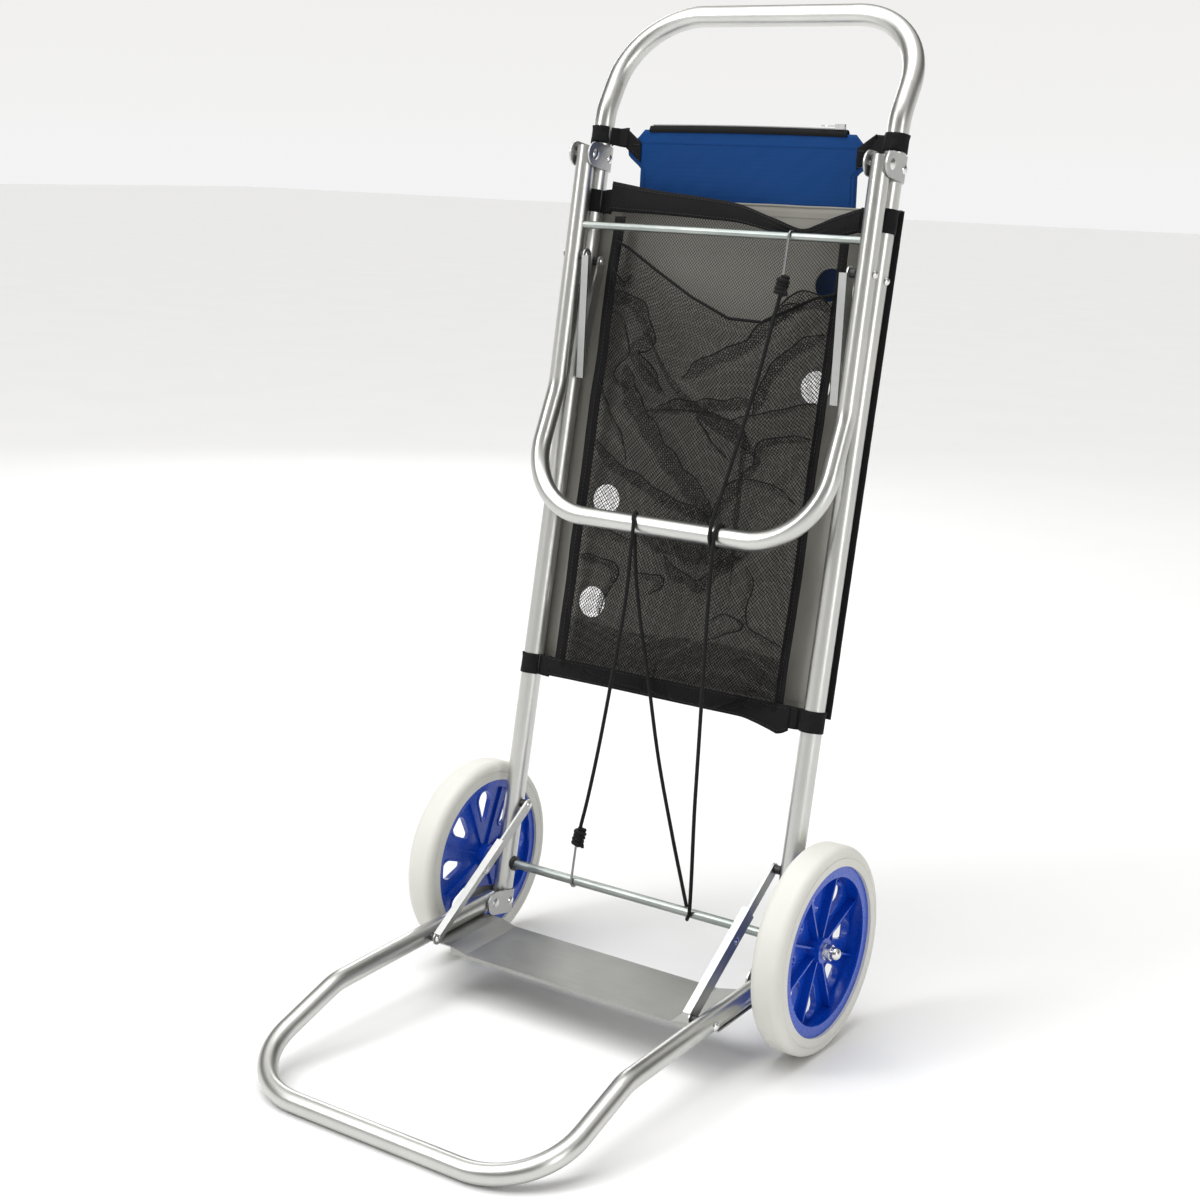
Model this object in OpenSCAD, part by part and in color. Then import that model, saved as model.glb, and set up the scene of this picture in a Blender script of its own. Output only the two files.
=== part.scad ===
/* [Main frame] */
// Outer diameter of the main tube
main_d = 22; // [20:0.5:25]
// Outer diameter of the base and front tubes
sub_d = 20; // [16:0.5:20]
// Wall thickness of every tube
wall = 1.2; // [1:0.1:2]
// Distance between the centre lines of the two legs
leg_gap = 350; // [340:1:360]
// Backward lean of the legs from the vertical
lean = 10.3; // [8:0.1:12]
// Height of the leg's straight stretch above the axle
leg_run = 817; // [812:1:830]
// Angle that the handle bends back from the legs
handle_bend = 20; // [10:1:30]
// Length of the handle loop beyond its bend
handle_loop = 108; // [100:1:140]
// Radius of the handle's corners
handle_corner = 83; // [60:1:90]

/* [Wheels] */
// Diameter of the tyre
wheel_d = 215; // [211:1:219]
// Width of the tyre
tyre_w = 33; // [28:1:36]
// Diameter of the rim under the tyre
rim_d = 175; // [170:1:180]
// Number of spokes
spokes = 8; // [6:1:10]
// Distance between the middles of the two wheels
track = 429; // [429:1:440]
// Diameter of the axle rod
axle_d = 10; // [8:0.5:10]

/* [Folding base] */
// Straight length of the base's side tubes from the hinge
base_run = 238; // [220:1:250]
// Angle that the front loop bends down
base_bend = 17; // [15:0.5:20]
// Radius of the front loop's corners
base_corner = 76; // [60:1:90]
// Depth of the shelf between its front and back lips
shelf_depth = 88; // [70:1:90]

/* [Front frame] */
// Straight length of the front frame's side tubes from the hinge
front_run = 241; // [230:1:250]
// Angle that the front frame's loop bends away from the legs
front_bend = 14.5; // [10:0.5:18]
// Length of the front frame's loop beyond its bend
front_loop = 130; // [110:1:140]
// Radius of the front loop's corners
front_corner = 78; // [60:1:85]
// Distance of the crossbar from the front frame's hinge
crossbar_at = 75; // [60:1:80]

/* [Folding stays] */
// Distance of a hinge pin in front of the leg's centre line
hinge_out = 27; // [26:0.5:30]
// Distance along the leg from a hinge pin to the stay's bolt
stay_seat = 110; // [108:1:114]
// Distance along the moving tube from a hinge pin to the stay's bolt
stay_reach = 107; // [104:1:110]
// Length of the flat link between its pins
link_len = 92; // [90:0.5:93]
// Length of the angle stay between its pins
angle_len = 95.5; // [94.5:0.5:97]

/* [Soft goods] */
// Half width of the back panel
panel_half = 187; // [180:1:187]
// Height of the back panel's lower edge above the axle
panel_low = 228; // [220:1:240]
// Height of the back panel's upper edge above the axle
panel_high = 738; // [720:1:745]
// Diameter of the four holes in the panel
hole_d = 34; // [25:1:40]
// Half width of the pouch
pouch_half = 129; // [110:1:135]
// Height of the pouch
pouch_h = 190; // [150:1:200]
// Thickness of the pouch
pouch_t = 8; // [8:1:16]
// Diameter of the elastic cord
cord_d = 4; // [3:0.5:5]

/* [Hidden] */
$fn = 48;

leg_x = leg_gap / 2;
main_r = main_d / 2;
sub_r = sub_d / 2;
axle_r = axle_d / 2;
axle_z = wheel_d / 2;
wheel_x = track / 2;
rim_r = rim_d / 2;
bend_r = 60;
elbow_swell = 0.1;
tube_lap = 1;
leg_foot = -54;
base_hinge = -42;
front_hinge = 777;
hinge_rest = 1;

// Stay geometry: angle of the base from the leg when the stay is straight
stay_full = link_len + angle_len;
hinge_seat = sqrt(stay_seat * stay_seat + hinge_out * hinge_out);
open_cos = (hinge_seat * hinge_seat + stay_reach * stay_reach - stay_full * stay_full)
  / (2 * hinge_seat * stay_reach);
open_angle = acos(open_cos) - atan(hinge_out / stay_seat);
base_drop = open_angle - 90 - lean;
base_hinge_z = axle_z + base_hinge * cos(lean) + hinge_out * sin(lean);
base_knee_z = base_hinge_z - base_run * sin(base_drop)
  - bend_r * (cos(base_drop) - cos(base_drop + base_bend));
base_loop = (base_knee_z - sub_r) / sin(base_drop + base_bend);

// The origin lies midway between the front of the base and the back of the handle
base_front = base_hinge * sin(lean) - hinge_out * cos(lean) - base_run * cos(base_drop)
  - bend_r * (sin(base_drop + base_bend) - sin(base_drop))
  - base_loop * cos(base_drop + base_bend) - sub_r;
handle_up = leg_run + bend_r * sin(handle_bend) + handle_loop * cos(handle_bend);
handle_back = bend_r * (1 - cos(handle_bend)) + handle_loop * sin(handle_bend);
axle_y = -(base_front + handle_up * sin(lean) + handle_back * cos(lean) + main_r) / 2;

// Stay points as [forward, up] in the leg's frame
leg_pin_low = [0, base_hinge + stay_seat];
tube_pin_low = [
  hinge_out + stay_reach * sin(open_angle),
  base_hinge + stay_reach * cos(open_angle)
];
leg_pin_high = [0, front_hinge - stay_seat];
tube_pin_high = [
  hinge_out - stay_reach * sin(hinge_rest),
  front_hinge - stay_reach * cos(hinge_rest)
];
low_dir = tube_pin_low - leg_pin_low;
low_turn = atan2(low_dir[0], low_dir[1]);
high_gap = tube_pin_high - leg_pin_high;
high_dist = norm(high_gap);
high_along = (high_dist * high_dist + link_len * link_len - angle_len * angle_len) / (2 * high_dist);
high_off = sqrt(link_len * link_len - high_along * high_along);
high_unit = high_gap / high_dist;
high_knee = leg_pin_high + high_along * high_unit + high_off * [high_unit[1], -high_unit[0]];
high_link_dir = high_knee - leg_pin_high;
high_link_turn = atan2(high_link_dir[0], high_link_dir[1]);
high_angle_dir = tube_pin_high - high_knee;
high_angle_turn = atan2(high_angle_dir[0], high_angle_dir[1]);

// Places across the cart of the stay's layers, from the leg inwards
spacer_len = 7;
link_t = 2.5;
sheet_t = 1.5;
stay_w = 12;
stay_gap = 0.15;
link_out = leg_x - main_r - spacer_len - stay_gap;
flange_out = link_out + sheet_t + stay_gap;
angle_deep = 8.5;
stay_tail = 35;
pin_d = 5;
pin_play = 0.1;

ear_gap = main_r + 0.1;
plate_t = 1.9;
bracket_h = 26;
hinge_d = 6;
head_h = 2.2;

pocket_y = -3.5;
panel_y = 13.1;
panel_t = 1.2;
pouch_y = 148;
pouch_top = 904;

silver = [0.76, 0.77, 0.77];
grey = [0.5, 0.51, 0.5];
zinc = [0.5, 0.54, 0.52];
black = [0.06, 0.06, 0.07];
blue = [0.02, 0.2, 0.62];
cream = [0.87, 0.86, 0.81];

// Frames of the assembly

module leg_frame() {
  translate([0, axle_y, axle_z]) rotate([-lean, 0, 0]) children();
}

module base_frame() {
  leg_frame() translate([0, -hinge_out, base_hinge]) rotate([open_angle, 0, 0]) children();
}

module front_frame() {
  leg_frame() translate([0, -hinge_out, front_hinge])
    rotate([180 + hinge_rest, 0, 0]) rotate([0, 0, 180]) children();
}

module on_side(side) {
  if (side > 0) children();
  else mirror([1, 0, 0]) children();
}

module both_sides() {
  for (side = [-1, 1]) on_side(side) children();
}

// Tube stretches, all starting at the origin and heading up

module tube_ring(r, swell = 0) {
  difference() {
    circle(r + swell);
    circle(r - wall - swell);
  }
}

module tube_run(r, length) {
  linear_extrude(length) tube_ring(r);
}

// Carries its children to the far end of an elbow that turns towards -Y
module past_elbow(radius, angle) {
  translate([0, -radius, 0]) rotate([angle, 0, 0]) translate([0, radius, 0]) children();
}

// Bend of a tube that heads up and turns towards -Y, a hair thicker than the straight tube let into it
module elbow(r, radius, angle) {
  translate([0, -radius, 0]) rotate([90, 0, 90])
    rotate_extrude(angle = angle, $fn = 96) translate([radius, 0]) tube_ring(r, elbow_swell);
}

// A U of tube whose loop bends towards -Y after the straight run
module bent_u(r, run, bend, loop, corner) {
  for (side = [-1, 1]) translate([side * leg_x, 0, 0]) {
    tube_run(r, run + tube_lap);
    translate([0, 0, run]) {
      elbow(r, bend_r, bend);
      past_elbow(bend_r, bend) {
        translate([0, 0, -tube_lap]) tube_run(r, loop - corner + 2 * tube_lap);
        translate([0, 0, loop - corner]) rotate([0, 0, side * -90]) elbow(r, corner, 90);
      }
    }
  }
  translate([0, 0, run]) past_elbow(bend_r, bend) translate([corner - leg_x - tube_lap, 0, loop])
    rotate([0, 90, 0]) tube_run(r, 2 * (leg_x - corner + tube_lap));
}

// A hole or pin along X, from x0 to x1 at [forward, up] in the leg's frame
module pin_x(x0, x1, at, r) {
  translate([x0, -at[0], at[1]]) rotate([0, 90, 0]) cylinder(h = x1 - x0, r = r);
}

// Low domed head whose flat side lies at the origin and whose top points to +Z
module rivet_head(r, h) {
  ball = (r * r + h * h) / (2 * h);
  intersection() {
    translate([0, 0, h - ball]) sphere(r = ball, $fn = 64);
    cylinder(h = h + 1, r = r);
  }
}

module head_x(x, at, r, h, facing) {
  translate([x, -at[0], at[1]]) rotate([0, facing * 90, 0]) rivet_head(r, h);
}

// Main frame

module main_tube() {
  color(silver) leg_frame() difference() {
    translate([0, 0, leg_foot]) rotate([0, 0, 180])
      bent_u(main_r, leg_run - leg_foot, handle_bend, handle_loop, handle_corner);
    both_sides() {
      pin_x(leg_x - 20, leg_x + 20, [0, 0], axle_r + pin_play / 2);
      pin_x(leg_x - 20, leg_x + 20, leg_pin_low, pin_d / 2 + pin_play / 2);
      pin_x(leg_x - 20, leg_x + 20, leg_pin_high, pin_d / 2 + pin_play / 2);
      pin_x(leg_x - 20, leg_x + 20, [0, base_hinge], pin_d / 2 + pin_play / 2);
      pin_x(leg_x - 20, leg_x + 20, [0, front_hinge], pin_d / 2 + pin_play / 2);
    }
  }
}

// Folded plate: wraps the back of the leg and holds a hinge pin between two round-nosed ears
module bracket(side, z) {
  nose = bracket_h / 2;
  color(grey) leg_frame() translate([side * leg_x, 0, z]) difference() {
    intersection() {
      translate([0, 0, -nose]) linear_extrude(bracket_h) difference() {
        union() {
          circle(ear_gap + plate_t);
          translate([-ear_gap - plate_t, -hinge_out - nose])
            square([2 * (ear_gap + plate_t), hinge_out + nose]);
        }
        circle(ear_gap);
        translate([-ear_gap, -hinge_out - nose - 1]) square([2 * ear_gap, hinge_out + nose + 1]);
      }
      union() {
        rotate([0, 90, 0]) translate([0, -hinge_out, -20]) cylinder(h = 40, r = nose);
        translate([-20, -hinge_out, -nose]) cube([40, hinge_out + 20, bracket_h]);
      }
    }
    translate([-20, -hinge_out, 0]) rotate([0, 90, 0]) cylinder(h = 40, r = hinge_d / 2);
    translate([-20, 0, 0]) rotate([0, 90, 0]) cylinder(h = 40, r = pin_d / 2 + pin_play / 2);
  }
}

module top_bracket_left() {
  bracket(-1, front_hinge);
}

module top_bracket_right() {
  bracket(1, front_hinge);
}

module bottom_bracket_left() {
  bracket(-1, base_hinge);
}

module bottom_bracket_right() {
  bracket(1, base_hinge);
}

// Pin with a domed head at each end, across one leg
module cross_rivet(at, half, r) {
  pin_x(leg_x - half, leg_x + half, at, r);
  head_x(leg_x + half, at, r * 1.9, head_h, 1);
  head_x(leg_x - half, at, r * 1.9, head_h, -1);
}

module bracket_rivets() {
  ear = ear_gap + plate_t + pin_play / 2;
  color(silver) leg_frame() both_sides() {
    cross_rivet([0, base_hinge], ear, pin_d / 2);
    cross_rivet([0, front_hinge], ear, pin_d / 2);
  }
}

module hinge_pins(z) {
  ear = ear_gap + plate_t + pin_play / 2;
  color(silver) leg_frame() both_sides()
    cross_rivet([hinge_out, z], ear, hinge_d / 2 - pin_play / 4);
}

module hinge_pins_base() {
  hinge_pins(base_hinge);
}

module hinge_pins_front() {
  hinge_pins(front_hinge);
}

// Bolt from outside a tube of radius r inwards to inner
module stay_bolt(at, r, inner) {
  outer = leg_x + r + pin_play / 2;
  pin_x(inner, outer, at, pin_d / 2);
  head_x(outer, at, 4.5, 3, 1);
}

module stay_spacer(at, outer, inner) {
  difference() {
    pin_x(inner, outer, at, 4.6);
    pin_x(inner - 1, outer + 1, at, pin_d / 2 + pin_play / 2);
  }
}

module leg_bolts() {
  inside = link_out - link_t - pin_play;
  color(silver) leg_frame() both_sides() for (at = [leg_pin_low, leg_pin_high]) {
    stay_bolt(at, main_r, inside);
    head_x(inside, at, 4.2, 2, -1);
  }
}

module leg_spacers() {
  outer = leg_x - main_r - stay_gap / 2;
  color(black) leg_frame() both_sides() {
    stay_spacer(leg_pin_low, outer, link_out + stay_gap);
    stay_spacer(leg_pin_high, outer, link_out + stay_gap);
  }
}

// Flat link from its leg pin, heading up along its length
module flat_link() {
  translate([link_out - link_t, 0, 0]) rotate([90, 0, 90]) linear_extrude(link_t) difference() {
    union() {
      circle(stay_w / 2);
      translate([0, link_len]) circle(stay_w / 2);
      translate([-stay_w / 2, 0]) square([stay_w, link_len]);
    }
    circle(pin_d / 2 + pin_play / 2);
    translate([0, link_len]) circle(pin_d / 2 + pin_play / 2);
  }
}

// Angle stay from its knee pin, heading up; its web is on the -Y side for web = -1
module angle_stay(web) {
  half = stay_w / 2 + 1;
  web_y = web < 0 ? -half - sheet_t : half;
  translate([flange_out - sheet_t, 0, 0]) rotate([90, 0, 90]) linear_extrude(sheet_t) difference() {
    union() {
      translate([0, angle_len]) circle(half);
      translate([-half, -stay_tail]) square([2 * half, stay_tail + angle_len]);
    }
    circle(pin_d / 2 + pin_play / 2);
    translate([0, angle_len]) circle(pin_d / 2 + pin_play / 2);
  }
  translate([flange_out - angle_deep, web_y, -stay_tail]) cube([angle_deep, sheet_t, stay_tail + angle_len]);
}

// Rivets of the angle stay: the knee, and the flanged end that meets the tube's spacer
module knee_rivet() {
  inside = link_out - link_t - pin_play / 2;
  outside = flange_out + pin_play / 2;
  flange_in = flange_out - sheet_t - pin_play / 2;
  pin_x(inside, outside, [0, 0], pin_d / 2);
  head_x(outside, [0, 0], 4.2, 1.8, 1);
  head_x(inside, [0, 0], 4.2, 1.8, -1);
  pin_x(flange_in, flange_out, [0, angle_len], pin_d / 2);
  head_x(flange_in, [0, angle_len], 4.2, 2, -1);
}

module at_low_link(side) {
  on_side(side) leg_frame() translate([0, -leg_pin_low[0], leg_pin_low[1]])
    rotate([low_turn, 0, 0]) children();
}

module at_low_knee(side) {
  at_low_link(side) translate([0, 0, link_len]) children();
}

module at_high_link(side) {
  on_side(side) leg_frame() translate([0, -leg_pin_high[0], leg_pin_high[1]])
    rotate([high_link_turn, 0, 0]) children();
}

module at_high_knee(side) {
  on_side(side) leg_frame() translate([0, -high_knee[0], high_knee[1]])
    rotate([high_angle_turn, 0, 0]) children();
}

module brace_link(side) {
  color(silver) at_low_link(side) flat_link();
}

module brace_angle(side) {
  color(silver) at_low_knee(side) angle_stay(1);
}

module brace_rivet(side) {
  color(grey) at_low_knee(side) knee_rivet();
}

module stay_link(side) {
  color(silver) at_high_link(side) flat_link();
}

module stay_angle(side) {
  color(silver) at_high_knee(side) angle_stay(-1);
}

module stay_rivet(side) {
  color(grey) at_high_knee(side) knee_rivet();
}

module brace_link_left() {
  brace_link(-1);
}

module brace_link_right() {
  brace_link(1);
}

module brace_angle_left() {
  brace_angle(-1);
}

module brace_angle_right() {
  brace_angle(1);
}

module brace_rivet_left() {
  brace_rivet(-1);
}

module brace_rivet_right() {
  brace_rivet(1);
}

module stay_link_left() {
  stay_link(-1);
}

module stay_link_right() {
  stay_link(1);
}

module stay_angle_left() {
  stay_angle(-1);
}

module stay_angle_right() {
  stay_angle(1);
}

module stay_rivet_left() {
  stay_rivet(-1);
}

module stay_rivet_right() {
  stay_rivet(1);
}

// Axle and wheels

module axle_rod() {
  color(zinc) leg_frame() pin_x(-axle_end, axle_end, [0, 0], axle_r);
}

module ring_x(x0, x1, outer, inner) {
  difference() {
    pin_x(x0, x1, [0, 0], outer);
    pin_x(x0 - 1, x1 + 1, [0, 0], inner);
  }
}

module axle_grommets() {
  inside = leg_x - main_r;
  color(black) leg_frame() both_sides() ring_x(inside - 2.5, inside - pin_play, 8, axle_r + pin_play / 2);
}

module wheel_spacers() {
  color(zinc) leg_frame() both_sides()
    ring_x(leg_x + main_r + pin_play, wheel_x - hub_in - pin_play, 7.5, axle_r + pin_play / 2);
}

module wheel_washers() {
  color(silver) leg_frame() both_sides()
    ring_x(wheel_x + hub_out + pin_play, wheel_x + hub_out + 2, 8.5, axle_r + pin_play / 2);
}

// Hexagon nut with a domed cap over the end of the axle
module cap_nuts() {
  start = wheel_x + hub_out + 2 + pin_play;
  color(silver) leg_frame() both_sides() difference() {
    union() {
      translate([start, 0, 0]) rotate([0, 90, 0]) cylinder(h = 6, r = 8.6, $fn = 6);
      pin_x(start + 6, start + 9, [0, 0], 6.6);
      translate([start + 9, 0, 0]) sphere(r = 6.6);
    }
    pin_x(start - 1, axle_end + pin_play, [0, 0], axle_r + pin_play / 2);
  }
}

hub_in = 17;
hub_out = 10;
hub_r = 13;
bush_r = 7.5;
axle_end = wheel_x + hub_out + 8;
web_t = 3;
web_at = -7;
wheel_turn = 12.2;
rim_in = 79;
rim_half = 13.5;
window_r = 58;

// Across the wheel, X is outwards from the hub and the window points away from it
module window_shape(grow) {
  translate([6, 0]) circle(r = 10.5 + grow);
  translate([-14, 0]) circle(r = 4 + grow);
  polygon([
    [-14 - 1.2, -3.8 - grow], [6 - 3.2, -10 - grow],
    [6 - 3.2, 10 + grow], [-14 - 1.2, 3.8 + grow]
  ]);
}

module wheel_hub() {
  step = 360 / spokes;
  difference() {
    union() {
      translate([0, 0, -rim_half]) difference() {
        cylinder(h = 2 * rim_half, r = rim_r - 0.1, $fn = 128);
        translate([0, 0, -1]) cylinder(h = 2 * rim_half + 2, r = rim_in, $fn = 128);
      }
      translate([0, 0, rim_half - 2.5]) difference() {
        cylinder(h = 2.5, r = rim_in + 1, $fn = 128);
        translate([0, 0, -1]) cylinder(h = 5, r = rim_in - 3, $fn = 128);
      }
      translate([0, 0, web_at]) cylinder(h = web_t, r = rim_in + 1, $fn = 128);
      translate([0, 0, -hub_in]) cylinder(h = hub_in + hub_out, r = hub_r);
      for (i = [0:spokes - 1]) rotate([0, 0, i * step]) {
        translate([hub_r - 1, -1, -10]) cube([rim_in - hub_r + 2, 2, 15]);
        rotate([0, 0, step / 2]) translate([window_r, 0, web_at - 1])
          linear_extrude(web_t + 3) window_shape(2);
      }
    }
    for (i = [0:spokes - 1]) rotate([0, 0, (i + 0.5) * step]) translate([window_r, 0, -20])
      linear_extrude(40) window_shape(0);
    translate([0, 0, -hub_in - 1]) cylinder(h = hub_in + hub_out + 2, r = bush_r + pin_play / 2);
  }
}

// Solid tyre with rounded shoulders
module tyre() {
  tyre_r = wheel_d / 2;
  half = tyre_w / 2;
  shoulder = 9;
  inner = rim_r + pin_play;
  rotate_extrude($fn = 160) difference() {
    union() {
      translate([inner, -half]) square([tyre_r - shoulder - inner, tyre_w]);
      translate([inner, shoulder - half]) square([tyre_r - inner, tyre_w - 2 * shoulder]);
      for (side = [-1, 1]) translate([tyre_r - shoulder, side * (half - shoulder)]) circle(shoulder);
    }
    for (side = [-1, 1]) translate([tyre_r - shoulder - 2, side * (half + 0.5)]) circle(1.2);
  }
}

module at_wheel(side) {
  on_side(side) leg_frame() translate([wheel_x, 0, 0]) rotate([-wheel_turn, 0, 0]) rotate([0, 90, 0]) children();
}

module wheel_hub_left() {
  color(blue) at_wheel(-1) wheel_hub();
}

module wheel_hub_right() {
  color(blue) at_wheel(1) wheel_hub();
}

module tyre_left() {
  color(cream) at_wheel(-1) tyre();
}

module tyre_right() {
  color(cream) at_wheel(1) tyre();
}

module hub_bush(side) {
  color(grey) at_wheel(side) translate([0, 0, -hub_in]) difference() {
    cylinder(h = hub_in + hub_out, r = bush_r);
    translate([0, 0, -1]) cylinder(h = hub_in + hub_out + 2, r = axle_r + pin_play / 2);
  }
}

module hub_bush_left() {
  hub_bush(-1);
}

module hub_bush_right() {
  hub_bush(1);
}

// Folding base, built along +Z from its hinge with +Y up when it is open

tube_tail = 8;
tray_start = 9;
tray_drop = sub_r + 5;
wing_x = 182;
tray_x = 128;
lip_h = 9;
rivet_at = [tray_start + 16, tray_start + 64];

module base_tube() {
  color(silver) base_frame() difference() {
    translate([0, 0, -tube_tail])
      bent_u(sub_r, base_run + tube_tail, base_bend, base_loop, base_corner);
    both_sides() {
      pin_x(leg_x - 20, leg_x + 20, [0, 0], hinge_d / 2 + pin_play / 4);
      pin_x(leg_x - 20, leg_x + 20, [0, stay_reach], pin_d / 2 + pin_play / 2);
      for (z = rivet_at) translate([leg_x, 5, z]) rotate([90, 0, 0]) cylinder(h = 20, r = 2.1);
    }
  }
}

// Side profile across the cart: wings under the tubes, sloping to a lower floor
function tray_line(y) = [
  [-wing_x, y], [-150, y], [-tray_x, y - 5], [tray_x, y - 5], [150, y], [wing_x, y]
];

function back_to_front(points) = [for (i = [len(points) - 1:-1:0]) points[i]];

module shelf_tray() {
  top = -sub_r - pin_play;
  color(silver) base_frame() difference() {
    union() {
      translate([0, 0, tray_start]) linear_extrude(shelf_depth)
        polygon(concat(tray_line(top), back_to_front(tray_line(top - sheet_t))));
      for (z = [tray_start, tray_start + shelf_depth - sheet_t]) translate([0, 0, z])
        linear_extrude(sheet_t) polygon([
          [-148, top - 1], [-tray_x, top - 5 - sheet_t], [tray_x, top - 5 - sheet_t], [148, top - 1],
          [148, top - lip_h], [-148, top - lip_h]
        ]);
    }
    both_sides() for (z = rivet_at) translate([leg_x, 5, z]) rotate([90, 0, 0])
      cylinder(h = 30, r = 2.1);
  }
}

module shelf_rivets() {
  under = -sub_r - sheet_t - 2 * pin_play;
  color(grey) base_frame() both_sides() for (z = rivet_at) {
    translate([leg_x, under, z]) rotate([-90, 0, 0]) cylinder(h = wall + sheet_t + 1.5, r = 2);
    translate([leg_x, under, z]) rotate([90, 0, 0]) rivet_head(4, 1.6);
  }
}

module base_bolts() {
  color(silver) base_frame() both_sides()
    stay_bolt([0, stay_reach], sub_r, flange_out + stay_gap);
}

module base_spacers() {
  color(black) base_frame() both_sides()
    stay_spacer([0, stay_reach], leg_x - sub_r - stay_gap / 2, flange_out + stay_gap);
}

// Front frame, built along +Z from its hinge with -Y away from the legs

module front_tube() {
  color(silver) front_frame() difference() {
    translate([0, 0, -tube_tail])
      bent_u(sub_r, front_run + tube_tail, front_bend, front_loop, front_corner);
    both_sides() {
      pin_x(leg_x - 20, leg_x + 20, [0, 0], hinge_d / 2 + pin_play / 4);
      pin_x(leg_x - 20, leg_x + 20, [0, stay_reach], pin_d / 2 + pin_play / 2);
      pin_x(leg_x - 20, leg_x, [0, crossbar_at], crossbar_r + pin_play / 2);
    }
  }
}

crossbar_r = 4;

module crossbar() {
  color(zinc) front_frame() pin_x(3 - leg_x, leg_x - 3, [0, crossbar_at], crossbar_r);
}

module front_bolts() {
  color(silver) front_frame() both_sides()
    stay_bolt([0, stay_reach], sub_r, flange_out + stay_gap);
}

module front_spacers() {
  color(black) front_frame() both_sides()
    stay_spacer([0, stay_reach], leg_x - sub_r - stay_gap / 2, flange_out + stay_gap);
}

// Soft goods

hole_spots = [[117, 178], [117, 74], [-117, -70], [-117, -182]];
panel_mid = (panel_low + panel_high) / 2;
tape_t = 0.6;
tape_w = 15;

module back_panel() {
  color([0.68, 0.67, 0.63]) leg_frame() translate([0, panel_y + panel_t, 0]) rotate([90, 0, 0])
    linear_extrude(panel_t) difference() {
      translate([-panel_half, panel_low]) square([2 * panel_half, panel_high - panel_low]);
      for (spot = hole_spots) translate([spot[0], panel_mid + spot[1]]) circle(hole_d / 2);
    }
}

// Tape folded round each side edge of the panel
module panel_binding() {
  outer_t = panel_t + 2 * tape_t + 2 * pin_play;
  color(black) leg_frame() both_sides() translate([0, 0, panel_low]) linear_extrude(panel_high - panel_low)
    difference() {
      translate([panel_half + pin_play + tape_t - tape_w, panel_y - pin_play - tape_t])
        square([tape_w, outer_t]);
      translate([panel_half - tape_w - 1, panel_y - pin_play])
        square([tape_w + 1 + pin_play, panel_t + 2 * pin_play]);
    }
}

hem_h = 22;
mesh_half = 137;
mesh_t = 2;
hem_sag = [[-150, 744], [-90, 734], [10, 726], [60, 714], [88, 708], [112, 716], [150, 736]];
hem_low = 214;

function lowered(points, drop) = [for (p = points) [p[0], p[1] - drop]];

module flat_cloth(y, t) {
  translate([0, y + t / 2, 0]) rotate([90, 0, 0]) linear_extrude(t) children();
}

module pocket_mesh() {
  top = lowered(hem_sag, hem_h + 0.3);
  color(black) leg_frame() flat_cloth(pocket_y, mesh_t) intersection() {
    polygon(concat([[-150, hem_low + hem_h + 0.3]], top, [[150, hem_low + hem_h + 0.3]]));
    translate([-mesh_half, 0]) square([2 * mesh_half, 800]);
  }
}

module pocket_top_hem() {
  color(black) leg_frame() flat_cloth(pocket_y, mesh_t)
    polygon(concat(hem_sag, back_to_front(lowered(hem_sag, hem_h))));
}

module pocket_bottom_hem() {
  color(black) leg_frame() flat_cloth(pocket_y, mesh_t)
    translate([-150, hem_low]) square([300, hem_h]);
}

module pocket_side_tapes() {
  color(black) leg_frame() both_sides() flat_cloth(pocket_y, mesh_t)
    translate([mesh_half + 0.3, hem_low + hem_h + 0.3]) square([9, 470]);
}

// Loop of webbing round a leg with a tail that reaches inwards to x = tail
module leg_loop(tail, tail_y, height) {
  inner = main_r + 0.1;
  outer = inner + 1.1;
  linear_extrude(height) difference() {
    union() {
      translate([leg_x, 0]) circle(outer);
      translate([tail, tail_y - 0.6]) square([leg_x - tail - 6, 1.2]);
    }
    translate([leg_x, 0]) circle(inner);
  }
}

module pocket_straps() {
  color(black) leg_frame() {
    translate([0, 0, hem_low]) both_sides() leg_loop(150.2, pocket_y, 20);
    translate([0, 0, 721]) on_side(-1) leg_loop(150.2, pocket_y, 20);
    translate([0, 0, 715]) on_side(1) leg_loop(150.2, pocket_y, 20);
  }
}

pouch_tab = 147;

module pouch() {
  low = pouch_top - pouch_h;
  color(blue) translate([0, axle_y + pouch_y + pouch_t, 0]) rotate([90, 0, 0]) linear_extrude(pouch_t) polygon([
    [-pouch_half + 3, pouch_top], [pouch_half - 3, pouch_top],
    [pouch_tab, pouch_top - 20], [pouch_tab, pouch_top - 28], [pouch_half, pouch_top - 40],
    [pouch_half, low], [-pouch_half, low],
    [-pouch_half, pouch_top - 40], [-pouch_tab, pouch_top - 28], [-pouch_tab, pouch_top - 20]
  ]);
}

zip_y = axle_y + pouch_y + pouch_t / 2;
zip_h = 5;
zip_end = 118;
slider_x = 108;

module pouch_zip() {
  color(black) translate([-zip_end, zip_y - 2, pouch_top + pin_play])
    cube([2 * zip_end, 4, zip_h]);
}

module zip_slider() {
  color(silver) translate([slider_x - 5, zip_y - 3, pouch_top + zip_h + 3 * pin_play]) difference() {
    cube([10, 6, 5]);
    translate([5, -1, 3]) rotate([-90, 0, 0]) cylinder(h = 8, r = 1.1);
    translate([-1, 2, 1.5]) cube([12, 2, 5]);
  }
}

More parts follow.
